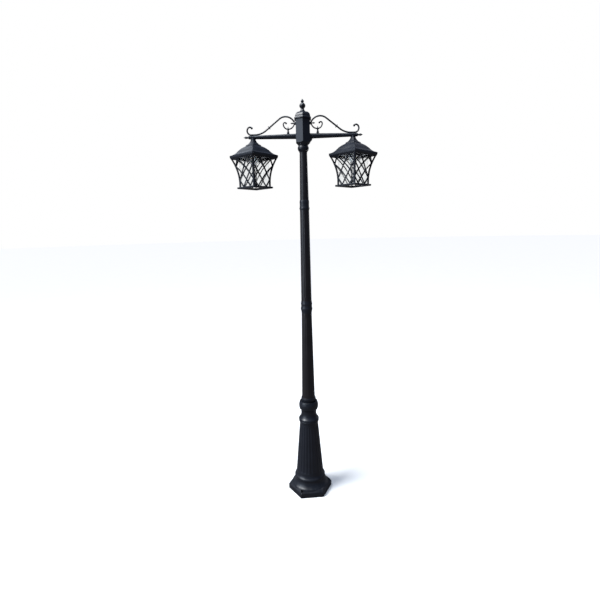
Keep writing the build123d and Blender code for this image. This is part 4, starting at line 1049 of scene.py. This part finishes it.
class LAMPPOST_OT_lamps(bpy.types.Operator):
    """Opal lamps, their caps and the lampholders"""
    bl_idname = "lamppost.lamps"
    bl_label = "Lamps"

    def execute(self, context):
        for side in SIDES:
            low, high = span(f"{side}_bulb_glass")
            radius = 22.8
            middle = low + radius
            underside = (radius * cos(pi / 4), middle - radius * sin(pi / 4), 0, low)
            globe = outline((0, high), (13.0, high), (14.6, 1922.5, 17.2, 1918.6),
                            (21.6, 1911.0, radius, middle), underside, steps=14)
            globe = moved(turned(globe, 64, closed=False), Matrix.Translation((LANTERN_X[side], 0, 0)))
            finished(f"{side}_opal_globe", globe, "head", "bulb_opal", [f"{side}_bulb_glass"])
            smoothed_copy(f"{side}_bulb_cap", f"{side}_threaded_cap", "head", "bulb_shell")
            smoothed_copy(f"{side}_lampholder", f"{side}_pressed_lampholder", "head", "lampholder_plastic")
        return {"FINISHED"}


class LAMPPOST_OT_fixings(bpy.types.Operator):
    """Finishes for the screws, nuts, nipples, clips and inner parts that keep their CAD shape"""
    bl_idname = "lamppost.fixings"
    bl_label = "Fixings"

    def execute(self, context):
        for part in frame["record"]["subparts"]:
            mesh = frame["nodes"][part["node"]].data
            mesh.materials.clear()
            mesh.materials.append(finish(part["material_slot"]))
        return {"FINISHED"}


# ---------------------------------------------------------------- stage
CAMERA_X = 0.0047
CAMERA_YAW = radians(-1.059)
CAMERA_PITCH = radians(10.044)
CAMERA_ROLL = radians(1.367)


class LAMPPOST_OT_stage(bpy.types.Operator):
    """Pale floor, key light, soft boxes, surroundings and the camera"""
    bl_idname = "lamppost.stage"
    bl_label = "Studio"

    def execute(self, context):
        scene = context.scene
        stage = scene.post_stage
        ground = bmesh.new()
        bmesh.ops.create_circle(ground, cap_ends=True, radius=60.0, segments=96)
        floor = in_scene("floor", as_mesh("floor", ground))
        made, tree, place, surface = new_material("pale_studio_floor")
        # pale to the eye, but it throws little light back up onto the dark post
        cloud = grain(tree, place, 400.0, 2.0)
        pale = mixed(tree, cloud, (0.96, 0.96, 0.96, 1), opaque(stage.floor_colour))
        colour = mixed(tree, seen_directly(tree), (0.1, 0.095, 0.1, 1), pale)
        coated(tree, surface, Base_Color=colour, Roughness=0.9)
        floor.data.materials.append(made)

        key = bpy.data.lights.new("key_light", "SUN")
        key.energy = stage.key_strength
        key.angle = radians(30)
        lamp = in_scene("key_light", key)
        lamp.rotation_euler = Vector((0.95, 0.35, -1.15)).to_track_quat("-Z", "Y").to_euler()

        # a tall soft box on the left for the upright faces, one overhead for the arms and mouldings, one
        # behind on the left for the roofs' left slopes, and a larger, dimmer one behind on the right
        boxes = (("left_box", (-3.6, -1.9, 2.4), (3.0, 4.0), stage.box_power, (0.72, 0.84, 1.0)),
                 ("top_box", (-0.4, -0.5, 4.8), (2.4, 2.0), stage.top_power, (0.8, 0.9, 1.0)),
                 ("roof_box", (-2.3, 2.8, 4.2), (1.8, 1.8), stage.back_power, (0.85, 0.92, 1.0)),
                 ("back_box", (3.0, 3.4, 2.6), (3.0, 4.0), 1.6 * stage.back_power, (1.0, 0.97, 0.93)))
        for name, place, size, power, colour in boxes:
            box = bpy.data.lights.new(name, "AREA")
            box.shape = "RECTANGLE"
            box.size, box.size_y = size
            box.energy = power
            box.color = colour
            lamp = in_scene(name, box)
            lamp.location = place
            lamp.rotation_euler = (Vector((0, 0, 1.3)) - lamp.location).to_track_quat("-Z", "Y").to_euler()

        # white behind the post and through its panes, a dim cool room for everything else
        world = bpy.data.worlds.new("studio_room")
        world.use_nodes = True
        tree = world.node_tree
        tree.nodes.clear()
        colour = mixed(tree, seen_directly(tree), (0.11, 0.13, 0.19, 1), (1, 1, 1, 1))
        light = add_node(tree, "ShaderNodeBackground", {"Color": colour, "Strength": 1.0})
        add_node(tree, "ShaderNodeOutputWorld", {"Surface": light.outputs[0]})
        scene.world = world
        scene.view_settings.view_transform = "Standard"

        level = Vector((sin(CAMERA_YAW), cos(CAMERA_YAW), 0))
        side = Vector((cos(CAMERA_YAW), -sin(CAMERA_YAW), 0))
        up = Vector((0, 0, 1))
        ahead = cos(CAMERA_PITCH) * level - sin(CAMERA_PITCH) * up
        raised = sin(CAMERA_PITCH) * level + cos(CAMERA_PITCH) * up
        right = cos(CAMERA_ROLL) * side - sin(CAMERA_ROLL) * raised
        top = sin(CAMERA_ROLL) * side + cos(CAMERA_ROLL) * raised
        data = bpy.data.cameras.new("camera")
        data.sensor_width = 36.0
        data.lens = stage.lens
        data.clip_end = 200.0
        camera = in_scene("camera", data)
        turn = Matrix((right, top, -ahead)).transposed().to_4x4()
        camera.matrix_world = Matrix.Translation((CAMERA_X, -stage.distance, stage.eye_height)) @ turn
        scene.camera = camera
        return {"FINISHED"}


class LAMPPOST_PT_panel(bpy.types.Panel):
    """Settings of the lamp post, and a button for each step that builds it"""
    bl_idname = "LAMPPOST_PT_panel"
    bl_label = "Lamp Post"
    bl_space_type = "VIEW_3D"
    bl_region_type = "UI"
    bl_category = "Lamp Post"

    def draw(self, context):
        layout = self.layout
        scene = context.scene
        for settings in (scene.post_coat, scene.post_edges, scene.post_glass, scene.post_stage):
            box = layout.box()
            for name in settings.__annotations__:
                box.prop(settings, name)
        for operator in OPERATORS:
            layout.operator(operator.bl_idname)


SETTINGS = {"post_coat": CoatSettings, "post_edges": EdgeSettings, "post_glass": GlassSettings,
            "post_stage": StageSettings}
OPERATORS = (LAMPPOST_OT_stage, LAMPPOST_OT_fixings, LAMPPOST_OT_base, LAMPPOST_OT_pole, LAMPPOST_OT_head,
             LAMPPOST_OT_arms, LAMPPOST_OT_scrolls, LAMPPOST_OT_lanterns, LAMPPOST_OT_glazing,
             LAMPPOST_OT_lamps)


def register():
    for name, group in SETTINGS.items():
        bpy.utils.register_class(group)
        setattr(bpy.types.Scene, name, bpy.props.PointerProperty(type=group))
    for made in OPERATORS + (LAMPPOST_PT_panel,):
        bpy.utils.register_class(made)


def unregister():
    for made in reversed(OPERATORS + (LAMPPOST_PT_panel,)):
        bpy.utils.unregister_class(made)
    for name, group in SETTINGS.items():
        delattr(bpy.types.Scene, name)
        bpy.utils.unregister_class(group)


def main():
    register()
    for operator in OPERATORS:
        group, name = operator.bl_idname.split(".")
        getattr(getattr(bpy.ops, group), name)()


if __name__ == "__main__":
    main()
